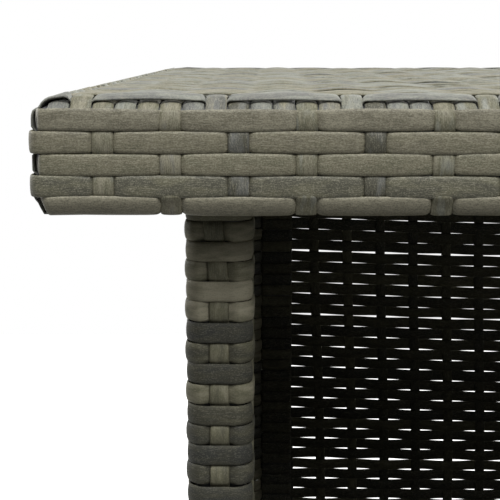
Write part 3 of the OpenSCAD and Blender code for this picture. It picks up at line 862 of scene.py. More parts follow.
def add_lengthwise_strip(strips, layout, index):
    """One strip of the top that runs its whole length and down both ends"""
    weave, half = layout.weave, layout.half_x
    edge = {0: 1, layout.count_y - 1: -1}.get(index, 0)
    outline = layout.wrapped_outline(half)
    first, last = (outline.on_side(2, 0, s * (half - weave.tube_radius)) for s in (-1, 1))
    dips = np.array([
        outline.on_side(2, 0, stake) for k, stake in enumerate(layout.stakes_x)
        if top_weave_crosses(index, k)
    ])
    pops = layout.apron_stations(outline, True, index)
    short = weave.lip - EDGE_TUCK if by_edge(index, layout.count_y) else 0
    ends = short, outline.total - short
    crests = (dips[1:] + dips[:-1]) / 2
    fixed = np.concatenate([outline.bend_stations()] + [crests + d for d in CREST_OFFSETS])
    stations = merge_stations(*ends, FLOAT_STEP, dips, FLOAT_OFFSETS, fixed)
    near = outline.on_bend(0, 0) + UNDER_BEND_OFFSETS
    near = np.concatenate([near, outline.total - near])
    extra = merge_stations(*ends, outline.total, pops, POP_OFFSETS, near)
    stations = np.unique(np.round(np.concatenate([stations, extra]), 3))
    level_top, width = float_shape(
        stations, dips, first, last, weave, strips.random,
        weave.edge_bulge if edge else weave.top_bulge, 1 if edge else STIFF_PEAK,
    )
    over = weave.over_level + EDGE_POP_RISE * abs(edge)
    level_side = pop_shape(stations, pops, over, weave.under_level)
    level_side = level_side + layout.bend_rise(stations, outline, True, index)
    inner = np.minimum(stations - first, last - stations)
    on_top = smooth_step(inner, *END_TO_TOP)
    level = level_side + (level_top - level_side) * on_top
    width = weave.strip_width + (width - weave.strip_width) * on_top
    if not edge:
        width = width + weave.end_gain * (1 - smooth_step(abs(inner - END_WIDE), *END_WIDE_FLANK))
    inset = smooth_step(inner, *END_SLOPE)
    askew = strips.random.normal(0, weave.float_tilt, len(dips) + 1)
    lean = askew[np.searchsorted(dips, stations)] if not edge else edge * weave.edge_tilt
    tilt = lean * inset * smooth_step(nearest(stations, dips), *SLOPE_FLANK)
    place = layout.stakes_y[index] - EDGE_OUT * edge + strips.random.normal(0, PLACE_STRAY)
    centre, side, normal = strip_path(outline, stations, level, place, PLAN_XZ, tilt=tilt)
    centre = layout.lift(centre, normal, 0, half, *END_LIFT)
    if edge:
        centre[:, 2] -= (weave.top_lift - EDGE_LIFT) * on_top * inset
    tone = EDGE_TONE if edge else strips.random.uniform(0, ROW_TONES)
    path = centre, side, normal
    strips.add(path, width, weave.strip_thickness, weave.crown, tone=tone)


# How near to a crossing's middle a crosswise strip stands highest, and how near to the top's
# edge it lies lower by EDGE_DIP and has a fuller section
POP_RISE_FLANK = (3, 6)
EDGE_DIP = 0.35
EDGE_DIP_FLANK = (3, 7)
EDGE_DOME_FLANK = (4.5, 8.5)


def add_crosswise_strip(strips, layout, index):
    """One strip of the top that runs from the staff side to the guest side"""
    weave, half = layout.weave, layout.half_y
    outline = layout.wrapped_outline(half)
    rows = [
        outline.on_side(2, 0, row) for j, row in enumerate(layout.stakes_y)
        if top_weave_crosses(j, index)
    ]
    pops = layout.apron_stations(outline, False, index) + rows
    short = weave.lip if by_edge(index, layout.count_x) else 0
    near = outline.on_bend(0, 0) + UNDER_BEND_OFFSETS
    bends = np.concatenate([outline.bend_stations(), near, outline.total - near])
    stations = merge_stations(
        short, outline.total - short, STAKE_STEP, pops, POP_OFFSETS, bends
    )
    edges = [outline.on_bend(1), outline.on_bend(2)]
    level = pop_shape(stations, pops, weave.over_level, weave.under_level)
    level = level + layout.bend_rise(stations, outline, False, index)
    level = level + weave.pop_rise * close_to(stations, rows, *POP_RISE_FLANK)
    level = level - EDGE_DIP * close_to(stations, edges, *EDGE_DIP_FLANK)
    place = layout.stakes_x[index] + strips.random.normal(0, PLACE_STRAY)
    centre, side, normal = strip_path(outline, stations, level, place, PLAN_YZ)
    path = layout.lift(centre, normal, 1, half, *SIDE_LIFT), side, normal
    crown = weave.crown + weave.edge_dome * close_to(stations, edges, *EDGE_DOME_FLANK)
    strips.add(
        path, weave.strip_width, weave.strip_thickness, crown, CROWNED_FINE,
        tone=STAKE_TONES.get(index),
    )


def apron_outline(layout, inset, radius):
    """A line round the table inside its apron, with the station of every stake's place"""
    hx, hy = layout.half_x - inset, layout.half_y - inset
    corners = [(-hx, -hy), (hx, -hy), (hx, hy), (-hx, hy)]
    outline = Outline(corners, radius, closed=True, level=layout.weave.over_level)
    sides = ((False, layout.stakes_x, 0, (0, 2)), (True, layout.stakes_y, 1, (3, 1)))
    places = {}
    for along_x, stakes, axis, ends in sides:
        for index, stake in enumerate(stakes):
            for place, side in zip(layout.apron_places(along_x, index), ends):
                places[place] = outline.on_side(side, axis, stake)
    return outline, places


# How far in from the tubes' faces an apron row lies and how round its corners are, and the
# same for the lowest row
ROW_PLAN = (0.0, 2.2)
BEND_ROW_PLAN = (0.9, 3.2)
# Where a row stands higher by a corner. A row that dips less than LOW_REACH before the place
# at a share LOW_END of the way round a corner stays down up to there, and CORNER_LOW lower
# than in a dip.
CORNER_FLANK = (0.5, 9)
LOW_REACH = 16
LOW_END = 0.4
CORNER_LOW = 0.75
LOW_FLANK = (0.1, 4)
# How far a row strays up and down, and at how many places round the table
ROW_WOBBLE = 0.14
ROW_KNOTS = 60
# The lowest row: how much deeper its dips are and where, how many times more it strays, how far
# it hangs under the tubes, how it is tilted and the radius that it is bent to
BEND_ROW_DIP = 0.5
BEND_ROW_FLANK = (3.0, 6.5)
BEND_ROW_WOBBLE = 2.2
BEND_ROW_DROP = 0.6
BEND_ROW_TILT = math.radians(28)
BEND_ROW_CURL = 10.0


def add_apron_ring(strips, layout, row):
    """One row of the apron, right round the table. Where it dips just before a corner, it
    stays low round it."""
    weave = layout.weave
    outline, places = apron_outline(layout, *(BEND_ROW_PLAN if row == BEND_ROW else ROW_PLAN))
    total = outline.total
    dips = np.array(sorted(places[p] for p in places if ring_crosses(row, p)))
    start = dips[np.argmin(abs(dips - outline.on_side(2, 0, 0)))]
    dips = np.concatenate([dips[dips >= start], dips[dips < start] + total, [start + total]])
    bend_ends = twice_round([outline.on_bend(i, LOW_END) for i in range(4)], total)
    low_spans = [(d, b) for d in dips for b in bend_ends if 0 < b - d < LOW_REACH]
    bends = twice_round(outline.bend_stations(), total)
    stations = merge_stations(start, start + total, ROW_STEP, dips, APRON_OFFSETS, bends)
    level, width = float_shape(
        stations, dips, start, start + total, weave, strips.random, weave.float_bulge
    )
    turns = [(outline.on_bend(i, 0.0), outline.on_bend(i, 1.0)) for i in range(4)]
    turns = twice_round(turns, total)
    by_corner = 1 - smooth_step(outside(stations, turns), *CORNER_FLANK)
    level = level + weave.corner_rise * by_corner
    corner_low = weave.under_level - CORNER_LOW
    clear = smooth_step(outside(stations, low_spans), *LOW_FLANK)
    level = corner_low + (level - corner_low) * clear
    knots = np.linspace(start, start + total, ROW_KNOTS)
    wobble = ROW_WOBBLE * np.interp(stations, knots, strips.random.normal(0, 1, len(knots)))
    height, tilt, curl = layout.row_heights.get(row), 0.0, 0.0
    if row == BEND_ROW:
        level = level - BEND_ROW_DIP * close_to(stations, dips, *BEND_ROW_FLANK)
        wobble = BEND_ROW_WOBBLE * wobble
        height, tilt, curl = layout.bottom - BEND_ROW_DROP, BEND_ROW_TILT, BEND_ROW_CURL
    path = strip_path(outline, stations, level, height + wobble, PLAN_XY, tilt=tilt)
    strips.add(
        path, width, weave.strip_thickness, weave.crown, CROWNED_FINE, curl, APRON_TONES_AND_PAINTED_LIGHT[row]
    )


# The lip's rows: how far short of the ends of the top the long ones stop, how far short of
# the long sides' lips the short ones stop, and how near to an end a stake may cross them
LONG_LIP_ROOM = 6
SHORT_LIP_ROOM = 0.5
LIP_DIP_ROOM = 4


def add_under_rows(strips, layout, row):
    """One row of the apron's lip under the tubes: four straight lengths"""
    weave = layout.weave
    inset = layout.row_insets[row]
    long_reach = layout.half_x - LONG_LIP_ROOM
    short_reach = layout.half_y - weave.lip - SHORT_LIP_ROOM
    sides = (
        (False, PLAN_XZ, long_reach, layout.half_y - inset, layout.stakes_x),
        (True, PLAN_YZ, short_reach, layout.half_x - inset, layout.stakes_y),
    )
    for along_x, axes, reach, distance, stakes in sides:
        outline = Outline([(-reach, layout.bottom), (reach, layout.bottom)], 0, False)
        for end, sign in enumerate((-1, 1)):
            dips = [
                stake + reach for i, stake in enumerate(stakes)
                if abs(stake) < reach - LIP_DIP_ROOM
                and ring_crosses(row, layout.apron_places(along_x, i)[end])
            ]
            stations = merge_stations(0, 2 * reach, LIP_STEP, dips, FLOAT_OFFSETS)
            level, width = float_shape(
                stations, dips, 0, 2 * reach, weave, strips.random, weave.float_bulge
            )
            path = strip_path(outline, stations, level, sign * distance, axes)
            strips.add(path, width, weave.strip_thickness, weave.crown)


def leg_box(node):
    """The middle and half width of a leg's tube, and the bottom and top of its sleeve"""
    low, high = box_mm("leg_" + node)
    sleeve_low, sleeve_high = box_mm("leg_weave_" + node)
    return (low + high) / 2, (high[0] - low[0]) / 2, sleeve_low[2], sleeve_high[2]


# The heights between which the stake on a leg's staff face drifts aside
LEAN_HEIGHTS = (968, 1006)
# The rings, counted from the top, over which their pitch changes to the lower one
PITCH_ROWS = (2.5, 5.5)
# How far past the guest face's middle a ring starts, and how far short of its start it ends
RING_START = 4
SEAM = 0.3
# Distances from a face's middle over which a ring changes to its level at a corner, where it
# lies over the face's stake and where it lies under it
RING_OVER_FLANK = (2.0, 8.0)
RING_UNDER_FLANK = (3.9, 8.2)
# The least gap between rings, how much wider than the top's strips they may be, and how much
# they differ in level, width and height
RING_GAP = 0.12
RING_GAIN = 0.6
RING_LEVEL_STRAY = 0.06
RING_WIDTH_STRAY = 0.07
RING_HEIGHT_STRAY = 0.12
# How far a ring rises and falls on its way round
RING_WAVE = 0.22
# A leg's stakes: how much higher they stand than the rings, how much deeper they lie
# underneath, and where they change
LEG_STAKE_RISE = 0.1
LEG_STAKE_DROP = 0.7
LEG_STAKE_FLANK = (2.6, 5.4)
# How far below the sleeve's top they end
LEG_STAKE_ROOM = 0.5


def leg_rows(bottom, top):
    """Middle heights and pitches of a leg's rings, from the top down"""
    leg_weave = settings("bar_table_leg")
    upper, lower = leg_weave.upper_pitch, leg_weave.lower_pitch
    rows, edge, number = [], top - leg_weave.top_gap + upper, -1
    while True:
        pitch = upper + smooth_step(number, *PITCH_ROWS) * (lower - upper)
        if edge - pitch < bottom:
            return rows
        rows.append((number, edge - pitch / 2, pitch))
        edge -= pitch
        number += 1


def ring_level(leg_weave, stations, raised, sunk):
    """Level of a leg's ring: over the stakes of the raised faces, under the sunk ones'"""
    over, under = leg_weave.over_level, leg_weave.under_level
    corner = leg_weave.corner_level
    level = corner + (over - corner) * close_to(stations, raised, *RING_OVER_FLANK)
    return level - (level - under) * close_to(stations, sunk, *RING_UNDER_FLANK)


def add_leg_rings(strips, leg_weave, outline, faces, rows, drift):
    """The rings of one leg. Even ones go over its staff and guest faces, odd ones under."""
    weave = settings("bar_table_close")
    start, total = faces[2] + RING_START, outline.total
    bends = twice_round(outline.bend_stations(), total)
    end = start + total - SEAM
    for number, height, pitch in rows:
        centres = [faces[0] + drift(height)] + faces[1:]
        every = twice_round(centres, total)
        stations = merge_stations(start, end, LEG_STEP, every, RING_OFFSETS, bends)
        along_x, along_y = every[0::2], every[1::2]
        raised, sunk = (along_x, along_y) if number % 2 == 0 else (along_y, along_x)
        level = ring_level(leg_weave, stations, raised, sunk)
        level = level + strips.random.normal(0, RING_LEVEL_STRAY)
        width = min(pitch - RING_GAP, weave.strip_width + RING_GAIN)
        width = width + strips.random.normal(0, RING_WIDTH_STRAY)
        wave = strips.random.normal(0, RING_HEIGHT_STRAY) + RING_WAVE * np.sin(
            (stations - start) / total * 2 * math.pi + strips.random.uniform(*WAVE_START)
        )
        path = strip_path(outline, stations, level, height + wave, PLAN_XY)
        strips.add(
            path, width, weave.strip_thickness, leg_weave.ring_crown, CROWNED_FINE,
            tone=LEG_TONES_AND_PAINTED_LIGHT[number % len(LEG_TONES_AND_PAINTED_LIGHT)],
        )


def add_leg_weave(strips, node, lean, lower):
    """The upper half of a leg's rings, or the lower half of them with its four stakes.

    The staff face's stake leans a little below the top.
    """
    weave = settings("bar_table_close")
    leg_weave = settings("bar_table_leg")
    middle, half, bottom, top = leg_box(node)
    cx, cy = middle[0], middle[1]
    over, under = leg_weave.over_level, leg_weave.under_level
    turns = ((-1, -1), (1, -1), (1, 1), (-1, 1))
    square = [(cx + sx * half, cy + sy * half) for sx, sy in turns]
    outline = Outline(square, leg_weave.corner_radius, True, level=over)
    faces = [outline.on_side(face, face % 2, (cx, cy)[face % 2]) for face in range(4)]
    rows = leg_rows(bottom, top)

    def drift(height):
        """Sideways place of the staff face's stake at a height"""
        return lean * smooth_step(height, *LEAN_HEIGHTS)

    middle_row = len(rows) // 2
    share = rows[middle_row:] if lower else rows[:middle_row]
    add_leg_rings(strips, leg_weave, outline, faces, share, drift)
    if not lower:
        return
    for face, sign in enumerate((-1, 1, 1, -1)):
        along_x = face % 2 == 0
        pops = np.array([h for number, h, pitch in rows if (number % 2 == 1) == along_x])
        stations = merge_stations(
            bottom, top - LEG_STAKE_ROOM, LEG_STEP, pops, LEG_STAKE_OFFSETS
        )
        level = pop_shape(
            stations, pops, over + LEG_STAKE_RISE, under - LEG_STAKE_DROP, LEG_STAKE_FLANK
        )
        reach, wall = (cx, cy + sign * half) if along_x else (cy, cx + sign * half)
        axes = PLAN_ZY if along_x else PLAN_ZX
        line = Outline([(bottom, wall), (top, wall)], 0, False, hand=-sign)
        sideways = reach + (drift(stations) if face == 0 else 0)
        path = strip_path(line, stations - bottom, level, sideways, axes)
        strips.add(
            path, leg_weave.stake_width, weave.strip_thickness, weave.crown, tone=LEG_STAKE_TONE
        )


# The share of the common gap that the open weave's first rows have, between which rows it
# grows to the whole of it, and how much the gaps and the rows' edges differ
FIRST_GAP = 0.45
GAP_ROWS = (10, 26)
GAP_STRAY = 0.12
EDGE_STRAY = 0.1
# The share of the rows from which they lie further apart, so that they fill the height
SPARE_FROM = 0.2
# The open weave's rows: how much more than their thickness they swing to each side of the
# stakes' middle, how bluntly, and how far and over what length they wave
SWING_ROOM = 0.03
SWING_POWER = 0.8
ROW_WAVE = 0.1
ROW_WAVE_LENGTH = 170
# Where its rows need stations round a stake, as shares of the stakes' pitch
SWING_OFFSETS = np.array((-0.5, -0.36, -0.2, 0, 0.2, 0.36))
# How far its stakes bow to the side, and over what length
STAKE_BOW = 0.25
STAKE_BOW_LENGTH = 260
# How much thicker the open weave's strips are in their middle
OPEN_CROWN = 0.1


def uneven_rows(low, high, random, wide=()):
    """Middles and widths of the open weave's rows, from the highest one down.

    The rows' edges stray a little, and the gaps with the numbers in wide are wider.
    """
    open_weave = settings("bar_table_open")
    pitch, gap = open_weave.row_pitch, open_weave.row_gap
    count = int((high - low) / pitch)
    steps = np.arange(count + 1)
    spare = (high - low) - count * pitch
    edges = high - steps * pitch - spare * smooth_step(steps, count * SPARE_FROM, count)
    edges[1:-1] += random.normal(0, EDGE_STRAY, count - 1)
    gaps = gap * (FIRST_GAP + (1 - FIRST_GAP) * smooth_step(steps, *GAP_ROWS))
    gaps = gaps + random.uniform(-GAP_STRAY, GAP_STRAY, count + 1)
    gaps[list(wide)] = open_weave.wide_gap
    uppers, lowers = edges[:-1] - gaps[:-1] / 2, edges[1:] + gaps[1:] / 2
    return (uppers + lowers) / 2, uppers - lowers


def stake_places(middle, half, pitch, width):
    """Stake places, symmetric about the middle and inside the half width"""
    count = int((half - width / 2) // pitch)
    return middle + pitch * np.arange(-count, count + 1)


def open_rows(strips, axes, plane, out_sign, reach, stakes, rows, first, lean=None, sag=None):
    """Rows of the open weave, which pass each stake on alternate sides.

    rows holds their middles and widths. lean gives how far the stakes stand to the side at a
    height, and sag how far a row hangs down at a height and each share of its length.
    """
    open_weave = settings("bar_table_open")
    thickness = open_weave.strip_thickness
    swing = thickness + SWING_ROOM
    low, high = reach
    pitch = stakes[1] - stakes[0]
    outline = Outline([(low, plane), (high, plane)], 0, False, hand=-out_sign)
    for number, (middle, width) in enumerate(zip(*rows)):
        crossings = stakes + (lean(stakes, middle) if lean else 0)
        known = np.concatenate([[crossings[0] - pitch], crossings, [crossings[-1] + pitch]])
        stations = merge_stations(
            0, high - low, pitch * 2, crossings - low, SWING_OFFSETS * pitch
        )
        index = np.interp(stations + low, known, np.arange(len(known)))
        swung = np.cos(np.pi * (index + number + first))
        offset = swing * np.sign(swung) * np.abs(swung) ** SWING_POWER - thickness / 2
        wave = ROW_WAVE * np.sin(stations / ROW_WAVE_LENGTH + strips.random.uniform(*WAVE_START))
        hang = sag(middle, stations / (high - low)) if sag else 0
        path = strip_path(outline, stations, offset, middle + wave - hang, axes)
        strips.add(path, width, thickness, OPEN_CROWN, LENS)


def open_stakes(strips, axes, plane, out_sign, reach, stakes, lean=None):
    """Stakes of the open weave, straight between the rows or leaning over"""
    open_weave = settings("bar_table_open")
    thickness = open_weave.strip_thickness
    low, high = reach
    outline = Outline([(low, plane), (high, plane)], 0, False, hand=-out_sign)
    stations = merge_stations(0, high - low, LEG_STEP)
    for stake in stakes:
        bow = STAKE_BOW * np.sin(stations / STAKE_BOW_LENGTH + strips.random.uniform(*WAVE_START))
        shift = lean(stake, stations + low) if lean else 0
        path = strip_path(outline, stations, -thickness / 2, stake + bow + shift, axes)
        strips.add(path, open_weave.stake_width, thickness, OPEN_CROWN, LENS)


# How the strips' ends fold round a tube: the fold's radius, the middle of the strip over the
# tube, the distance between folds and their width
FOLD_RADIUS = 1.6
FOLD_LEVEL = 0.5
FOLD_PITCH = 7.8
FOLD_WIDTH = 7.6
# A winding's two layers: the middle of the strips over the rail, the level of each layer, the
# distance between strips and their width
WINDING_MIDDLE = 1.2
LOWER_LAYER = 0.02
UPPER_LAYER = 1.16
WINDING_PITCH = 7.9
WINDING_WIDTH = 7.5
# How far a fold strays to the side, and how much thicker it is in its middle
FOLD_STRAY = 0.08
FOLD_CROWN = 0.1
# The folds round the panel's uprights: how far they stand out, their level and their width
STILE_FOLD_OUT = 0.9
STILE_FOLD_LEVEL = 0.3
STILE_FOLD_WIDTH = 8.2
# How far in from a rail's ends its folds start, and from a shelf's ends
RAIL_FOLD_ROOM = 1.4
SHELF_FOLD_ROOM = 1.3
# How high the right end's top rail is
TOP_RAIL_HEIGHT = 20
# How far strips keep from the middle of a bolt that holds the shelves, the top or the panel
SHELF_BOLT_ROOM = 10.8
SHELF_EDGE_BOLT_ROOM = 9.6
TOP_BOLT_ROOM = 10.2
PANEL_BOLT_ROOM = 8.6


def fold_line(corners, hand, closed=False, level=FOLD_LEVEL):
    """The line of a strip that is folded or wound round a tube"""
    return Outline(corners, FOLD_RADIUS, closed, hand=hand, level=level, arc_steps=4)


def winding_layers(low, high):
    """Level and places of a winding's lower strips, which fill the upper ones' gaps, and of
    the upper ones"""
    places = spaced(low, high, WINDING_PITCH)
    between = places[:-1] + 0.5 * (places[1] - places[0])
    return (LOWER_LAYER, between), (UPPER_LAYER, places)


def weave_sheet(node, seed, along, through, up, out_sign):
    """Weaves a flat open sheet in a CAD node's place, and gives the node's lowest and highest
    corners. Its rows run along the first axis, the second goes through it and its stakes run
    along the third."""
    open_weave = settings("bar_table_open")
    low, high = box_mm(node)
    plane = (low[through] + high[through]) / 2
    stakes = stake_places(0, high[along], open_weave.stake_pitch, open_weave.stake_width)
    sheet = StripMesh(seed)
    rows = uneven_rows(low[up], high[up], sheet.random)
    reach = low[along], high[along]
    open_rows(sheet, (along, through, up), plane, out_sign, reach, stakes, rows, 0)
    open_stakes(sheet, (up, through, along), plane, out_sign, (low[up], high[up]), stakes)
    sheet.build(node.replace("_weave", "_strips"), open_strip_material_painted_shade(), (node,))
    return low, high


def add_folds(strips, outline, axes, places, level=0.0, width=WINDING_WIDTH):
    """Strips that follow an outline, one at each place along the third axis"""
    weave = settings("bar_table_close")
    end = outline.total - (SEAM if outline.closed else 0)
    bends = outline.bend_stations() if outline.arcs else ()
    stations = merge_stations(0, end, STAKE_STEP, extra=bends)
    for place in places:
        slant = strips.random.normal(0, FOLD_STRAY)
        path = strip_path(outline, stations, level, place + slant, axes)
        strips.add(path, width, weave.strip_thickness, FOLD_CROWN)


def spaced(low, high, pitch):
    """Places a pitch or a little less apart that fill a length"""
    count = max(1, int(math.ceil((high - low) / pitch)))
    step = (high - low) / count
    return low + step * (np.arange(count) + 0.5)


def away_from(places, blocked, clearance):
    """The places that keep clear of the blocked ones"""
    return places[nearest(places, np.asarray(blocked, float)) > clearance]


# A longer gap than this between a node's points parts one bolt from the next
BOLT_SPACING = 20


def bolt_places(node, axis):
    """The middles of a fastener node's solids along one axis"""
    heights = np.sort([v.co[axis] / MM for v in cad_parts[node].data.vertices])
    groups = np.split(heights, np.where(np.diff(heights) > BOLT_SPACING)[0] + 1)
    return [(g[0] + g[-1]) / 2 for g in groups]


def weave_top(layout, way, parts, count, add_strip, seed, aprons):
    """Weaves the top's strips of one way, in a piece for each of the parts"""
    for part, group in zip(parts, np.array_split(np.arange(count), len(parts))):
        strips = StripMesh(seed + int(group[0]))
        for index in group:
            add_strip(strips, layout, index)
        strips.build(
            f"top_{way}_strips_{part}", top_strip_material(),
            ["top_weave"] + ["apron_weave_" + side for side in aprons],
        )


class BARTABLE_OT_lengthwise_strips(bpy.types.Operator):
    """Weaves the strips that run along the top and bend down its ends"""

    bl_idname = "bar_table.lengthwise_strips"
    bl_label = "Lengthwise strips"

    def execute(self, context):
        layout = TopLayout()
        weave_top(
            layout, "lengthwise", ("staff", "middle", "guest"), layout.count_y,
            add_lengthwise_strip, 100, ("left", "right"),
        )
        return {"FINISHED"}


class BARTABLE_OT_crosswise_strips(bpy.types.Operator):
    """Weaves the strips that run across the top and bend down its long sides"""

    bl_idname = "bar_table.crosswise_strips"
    bl_label = "Crosswise strips"

    def execute(self, context):
        layout = TopLayout()
        weave_top(
            layout, "crosswise", ("left", "middle_left", "middle_right", "right"),
            layout.count_x, add_crosswise_strip, 200, ("staff", "guest"),
        )
        return {"FINISHED"}


class BARTABLE_OT_apron_rows(bpy.types.Operator):
    """Weaves the rows that run round the apron and its lip"""

    bl_idname = "bar_table.apron_rows"
    bl_label = "Apron rows"

    def execute(self, context):
        layout = TopLayout()
        aprons = ["apron_weave_" + side for side in ("staff", "guest", "left", "right")]
        rings = StripMesh(31)
        for row in APRON_ROWS + (BEND_ROW,):
            add_apron_ring(rings, layout, row)
        rings.build("apron_rows", apron_strip_material(), aprons)
        lips = StripMesh(32)
        for row in UNDER_ROWS:
            add_under_rows(lips, layout, row)
        lips.build("apron_lip_rows", apron_strip_material(), aprons)
        return {"FINISHED"}


class BARTABLE_OT_leg_weaves(bpy.types.Operator):
    """Weaves the rings and stakes of the four legs"""

    bl_idname = "bar_table.leg_weaves"
    bl_label = "Leg weaves"

    def execute(self, context):
        places = (("staff_left", -2.5), ("staff_right", 0.8), ("guest_left", 0), ("guest_right", 0))
        for seed, (node, lean) in enumerate(places):
            for half, lower in (("upper", False), ("lower", True)):
                strips = StripMesh(40 + seed + 10 * lower)
                add_leg_weave(strips, node, lean, lower)
                strips.build(
                    "leg_strips_" + half + "_" + node, leg_strip_material(),
                    ("leg_weave_" + node,),
                )
        return {"FINISHED"}


# The heights over which the guest panel's stakes lean out and come back, how far along it they
# do, and the shares of the height between two rails over which the rows begin and end to sag
LEAN_OUT = (965, 700)
LEAN_BACK = (560, 330)
LEAN_REACH = (120, 380)
SAG_FOOT = (0, 0.55)
SAG_HEAD = (0.86, 1)


class BARTABLE_OT_guest_panel_weave(bpy.types.Operator):
    """Weaves the open panel on the guest side and folds its ends round the frame"""

    bl_idname = "bar_table.guest_panel_weave"
    bl_label = "Guest panel weave"

    def execute(self, context):
        open_weave = settings("bar_table_open")
        low, high = box_mm("guest_panel_weave")
        plane = (low[1] + high[1]) / 2
        stakes = stake_places(0, high[0], open_weave.stake_pitch, open_weave.stake_width)
        shelf_rails = [box_mm(n + "_shelf_end_tubes")[0][2] for n in ("lower", "upper")]
        rails = [low[2], *shelf_rails, high[2]]

        def lean(stake, height):
            """The stakes lean to the right below the top and come back by the lower rail"""
            share = smooth_step(height, *LEAN_OUT) - smooth_step(height, *LEAN_BACK)
            return open_weave.stake_lean * share * (1 - smooth_step(stake, *LEAN_REACH))

        def sag(height, share):
            """The rows hang level at the rails and sag between them"""
            span = np.clip(np.searchsorted(rails, height) - 1, 0, len(rails) - 2)
            rise = (height - rails[span]) / (rails[span + 1] - rails[span])
            depth = smooth_step(rise, *SAG_FOOT) * (1 - smooth_step(rise, *SAG_HEAD))
            return open_weave.row_sag * depth * 4 * share * (1 - share)

        rows = StripMesh(51)
        middles, widths = uneven_rows(low[2], high[2], rows.random, WIDE_PANEL_GAPS)
        cut = len(middles) // 2
        parts = (("upper", rows, slice(0, cut), 0), ("lower", StripMesh(52), slice(cut, None), cut))
        for name, strips, part, first in parts:
            open_rows(strips, PLAN_XY, plane, 1, (low[0], high[0]), stakes,
                      (middles[part], widths[part]), first, lean, sag)
            strips.build("guest_panel_rows_" + name, open_strip_material_painted_shade(), ("guest_panel_weave",))
        uprights = StripMesh(53)
        open_stakes(uprights, PLAN_ZY, plane, 1, (low[2], high[2]), stakes, lean)
        uprights.build("guest_panel_stakes", open_strip_material_painted_shade(), ("guest_panel_weave",))
        self.fold_edges(low[1], middles)
        return {"FINISHED"}

    def fold_edges(self, sheet_y, heights):
        """The rows' ends go round the uprights, and the stakes' round the rails"""
        folds = StripMesh(54)
        tube_low, tube_high = box_mm("guest_panel_stiles")
        rail_low, rail_high = box_mm("guest_panel_rails")
        bolts = bolt_places("panel_bolts", 2)
        for sign in (-1, 1):
            outer, inner = sign * (tube_high[0] + STILE_FOLD_OUT), sign * rail_high[0]
            corners = [(outer, sheet_y), (outer, tube_low[1])]
            corners += [(inner, tube_low[1]), (inner, sheet_y)]
            places = away_from(heights, bolts, PANEL_BOLT_ROOM)
            line = fold_line(corners, -sign)
            add_folds(folds, line, PLAN_XY, places, STILE_FOLD_LEVEL, STILE_FOLD_WIDTH)
        reach = rail_high[0] - RAIL_FOLD_ROOM
        side = rail_high[1] - rail_low[1]
        places = spaced(-reach, reach, FOLD_PITCH)
        for top_z in (rail_low[2] + side, rail_high[2]):
            corners = [(sheet_y, top_z), (tube_low[1], top_z)]
            corners += [(tube_low[1], top_z - side), (sheet_y, top_z - side)]
            add_folds(folds, fold_line(corners, 1), PLAN_YZ, places, width=FOLD_WIDTH)
        folds.build("guest_panel_folds", open_strip_material_painted_shade(), ("guest_panel_edge_wraps",))


class BARTABLE_OT_left_end_weave(bpy.types.Operator):
    """Weaves the open sheet that closes the left end and folds it round the bottom rail"""

    bl_idname = "bar_table.left_end_weave"
    bl_label = "Left end weave"

    def execute(self, context):
        low, high = weave_sheet("left_end_weave", 61, 1, 0, 2, -1)
        folds = StripMesh(62)
        rail_low, rail_high = box_mm("left_end_rails")
        outer, inner, bottom_z = rail_low[0], rail_high[0], rail_low[2]
        top_z = bottom_z + inner - outer
        corners = [(outer, top_z), (inner, top_z), (inner, bottom_z), (outer, bottom_z)]
        places = spaced(low[1], high[1], FOLD_PITCH)
        add_folds(folds, fold_line(corners, -1), PLAN_XZ, places, width=FOLD_WIDTH)
        folds.build("left_end_folds", open_strip_material_painted_shade(), ("left_end_bottom_wrap",))
        return {"FINISHED"}


class BARTABLE_OT_right_rail_strips(bpy.types.Operator):
    """Winds strips round the rails of the open right end, in two layers"""

    bl_idname = "bar_table.right_rail_strips"
    bl_label = "Right rail strips"

    def execute(self, context):
        low, high = box_mm("right_rail_weave")
        rail_low, rail_high = box_mm("right_end_rails")
        left, right = rail_low[0], rail_high[0]
        side = right - left
        shelf_bolts = bolt_places("shelf_bolts", 1)
        top_bolts = bolt_places("top_bolts", 1)
        sheet_drops = [box_mm(n + "_shelf_weave")[0][2] for n in ("lower", "upper")]
        windings = StripMesh(71)
        for z_low in [rail_low[2]] + [z - side for z in sheet_drops]:
            z_high = z_low + side
            square = [(left, z_low), (right, z_low), (right, z_high), (left, z_high)]
            closed, opened = (fold_line(square, 1, way, WINDING_MIDDLE) for way in (True, False))
            blocked = shelf_bolts if z_low != rail_low[2] else []
            for level, places in winding_layers(low[1], high[1]):
                free = away_from(places, blocked, SHELF_BOLT_ROOM)
                add_folds(windings, closed, PLAN_XZ, free, level)
                add_folds(windings, opened, PLAN_XZ, np.setdiff1d(places, free), level)
        z_high = rail_high[2]
        z_low = z_high - TOP_RAIL_HEIGHT
        walls = [(left, z_high), (left, z_low), (right, z_low), (right, z_high)]
        trough = fold_line(walls, 1, level=WINDING_MIDDLE)
        for level, places in winding_layers(low[1], high[1]):
            free = away_from(places, top_bolts, TOP_BOLT_ROOM)
            add_folds(windings, trough, PLAN_XZ, free, level)
        windings.build("right_rail_windings", leg_strip_material(), ("right_rail_weave",))
        return {"FINISHED"}


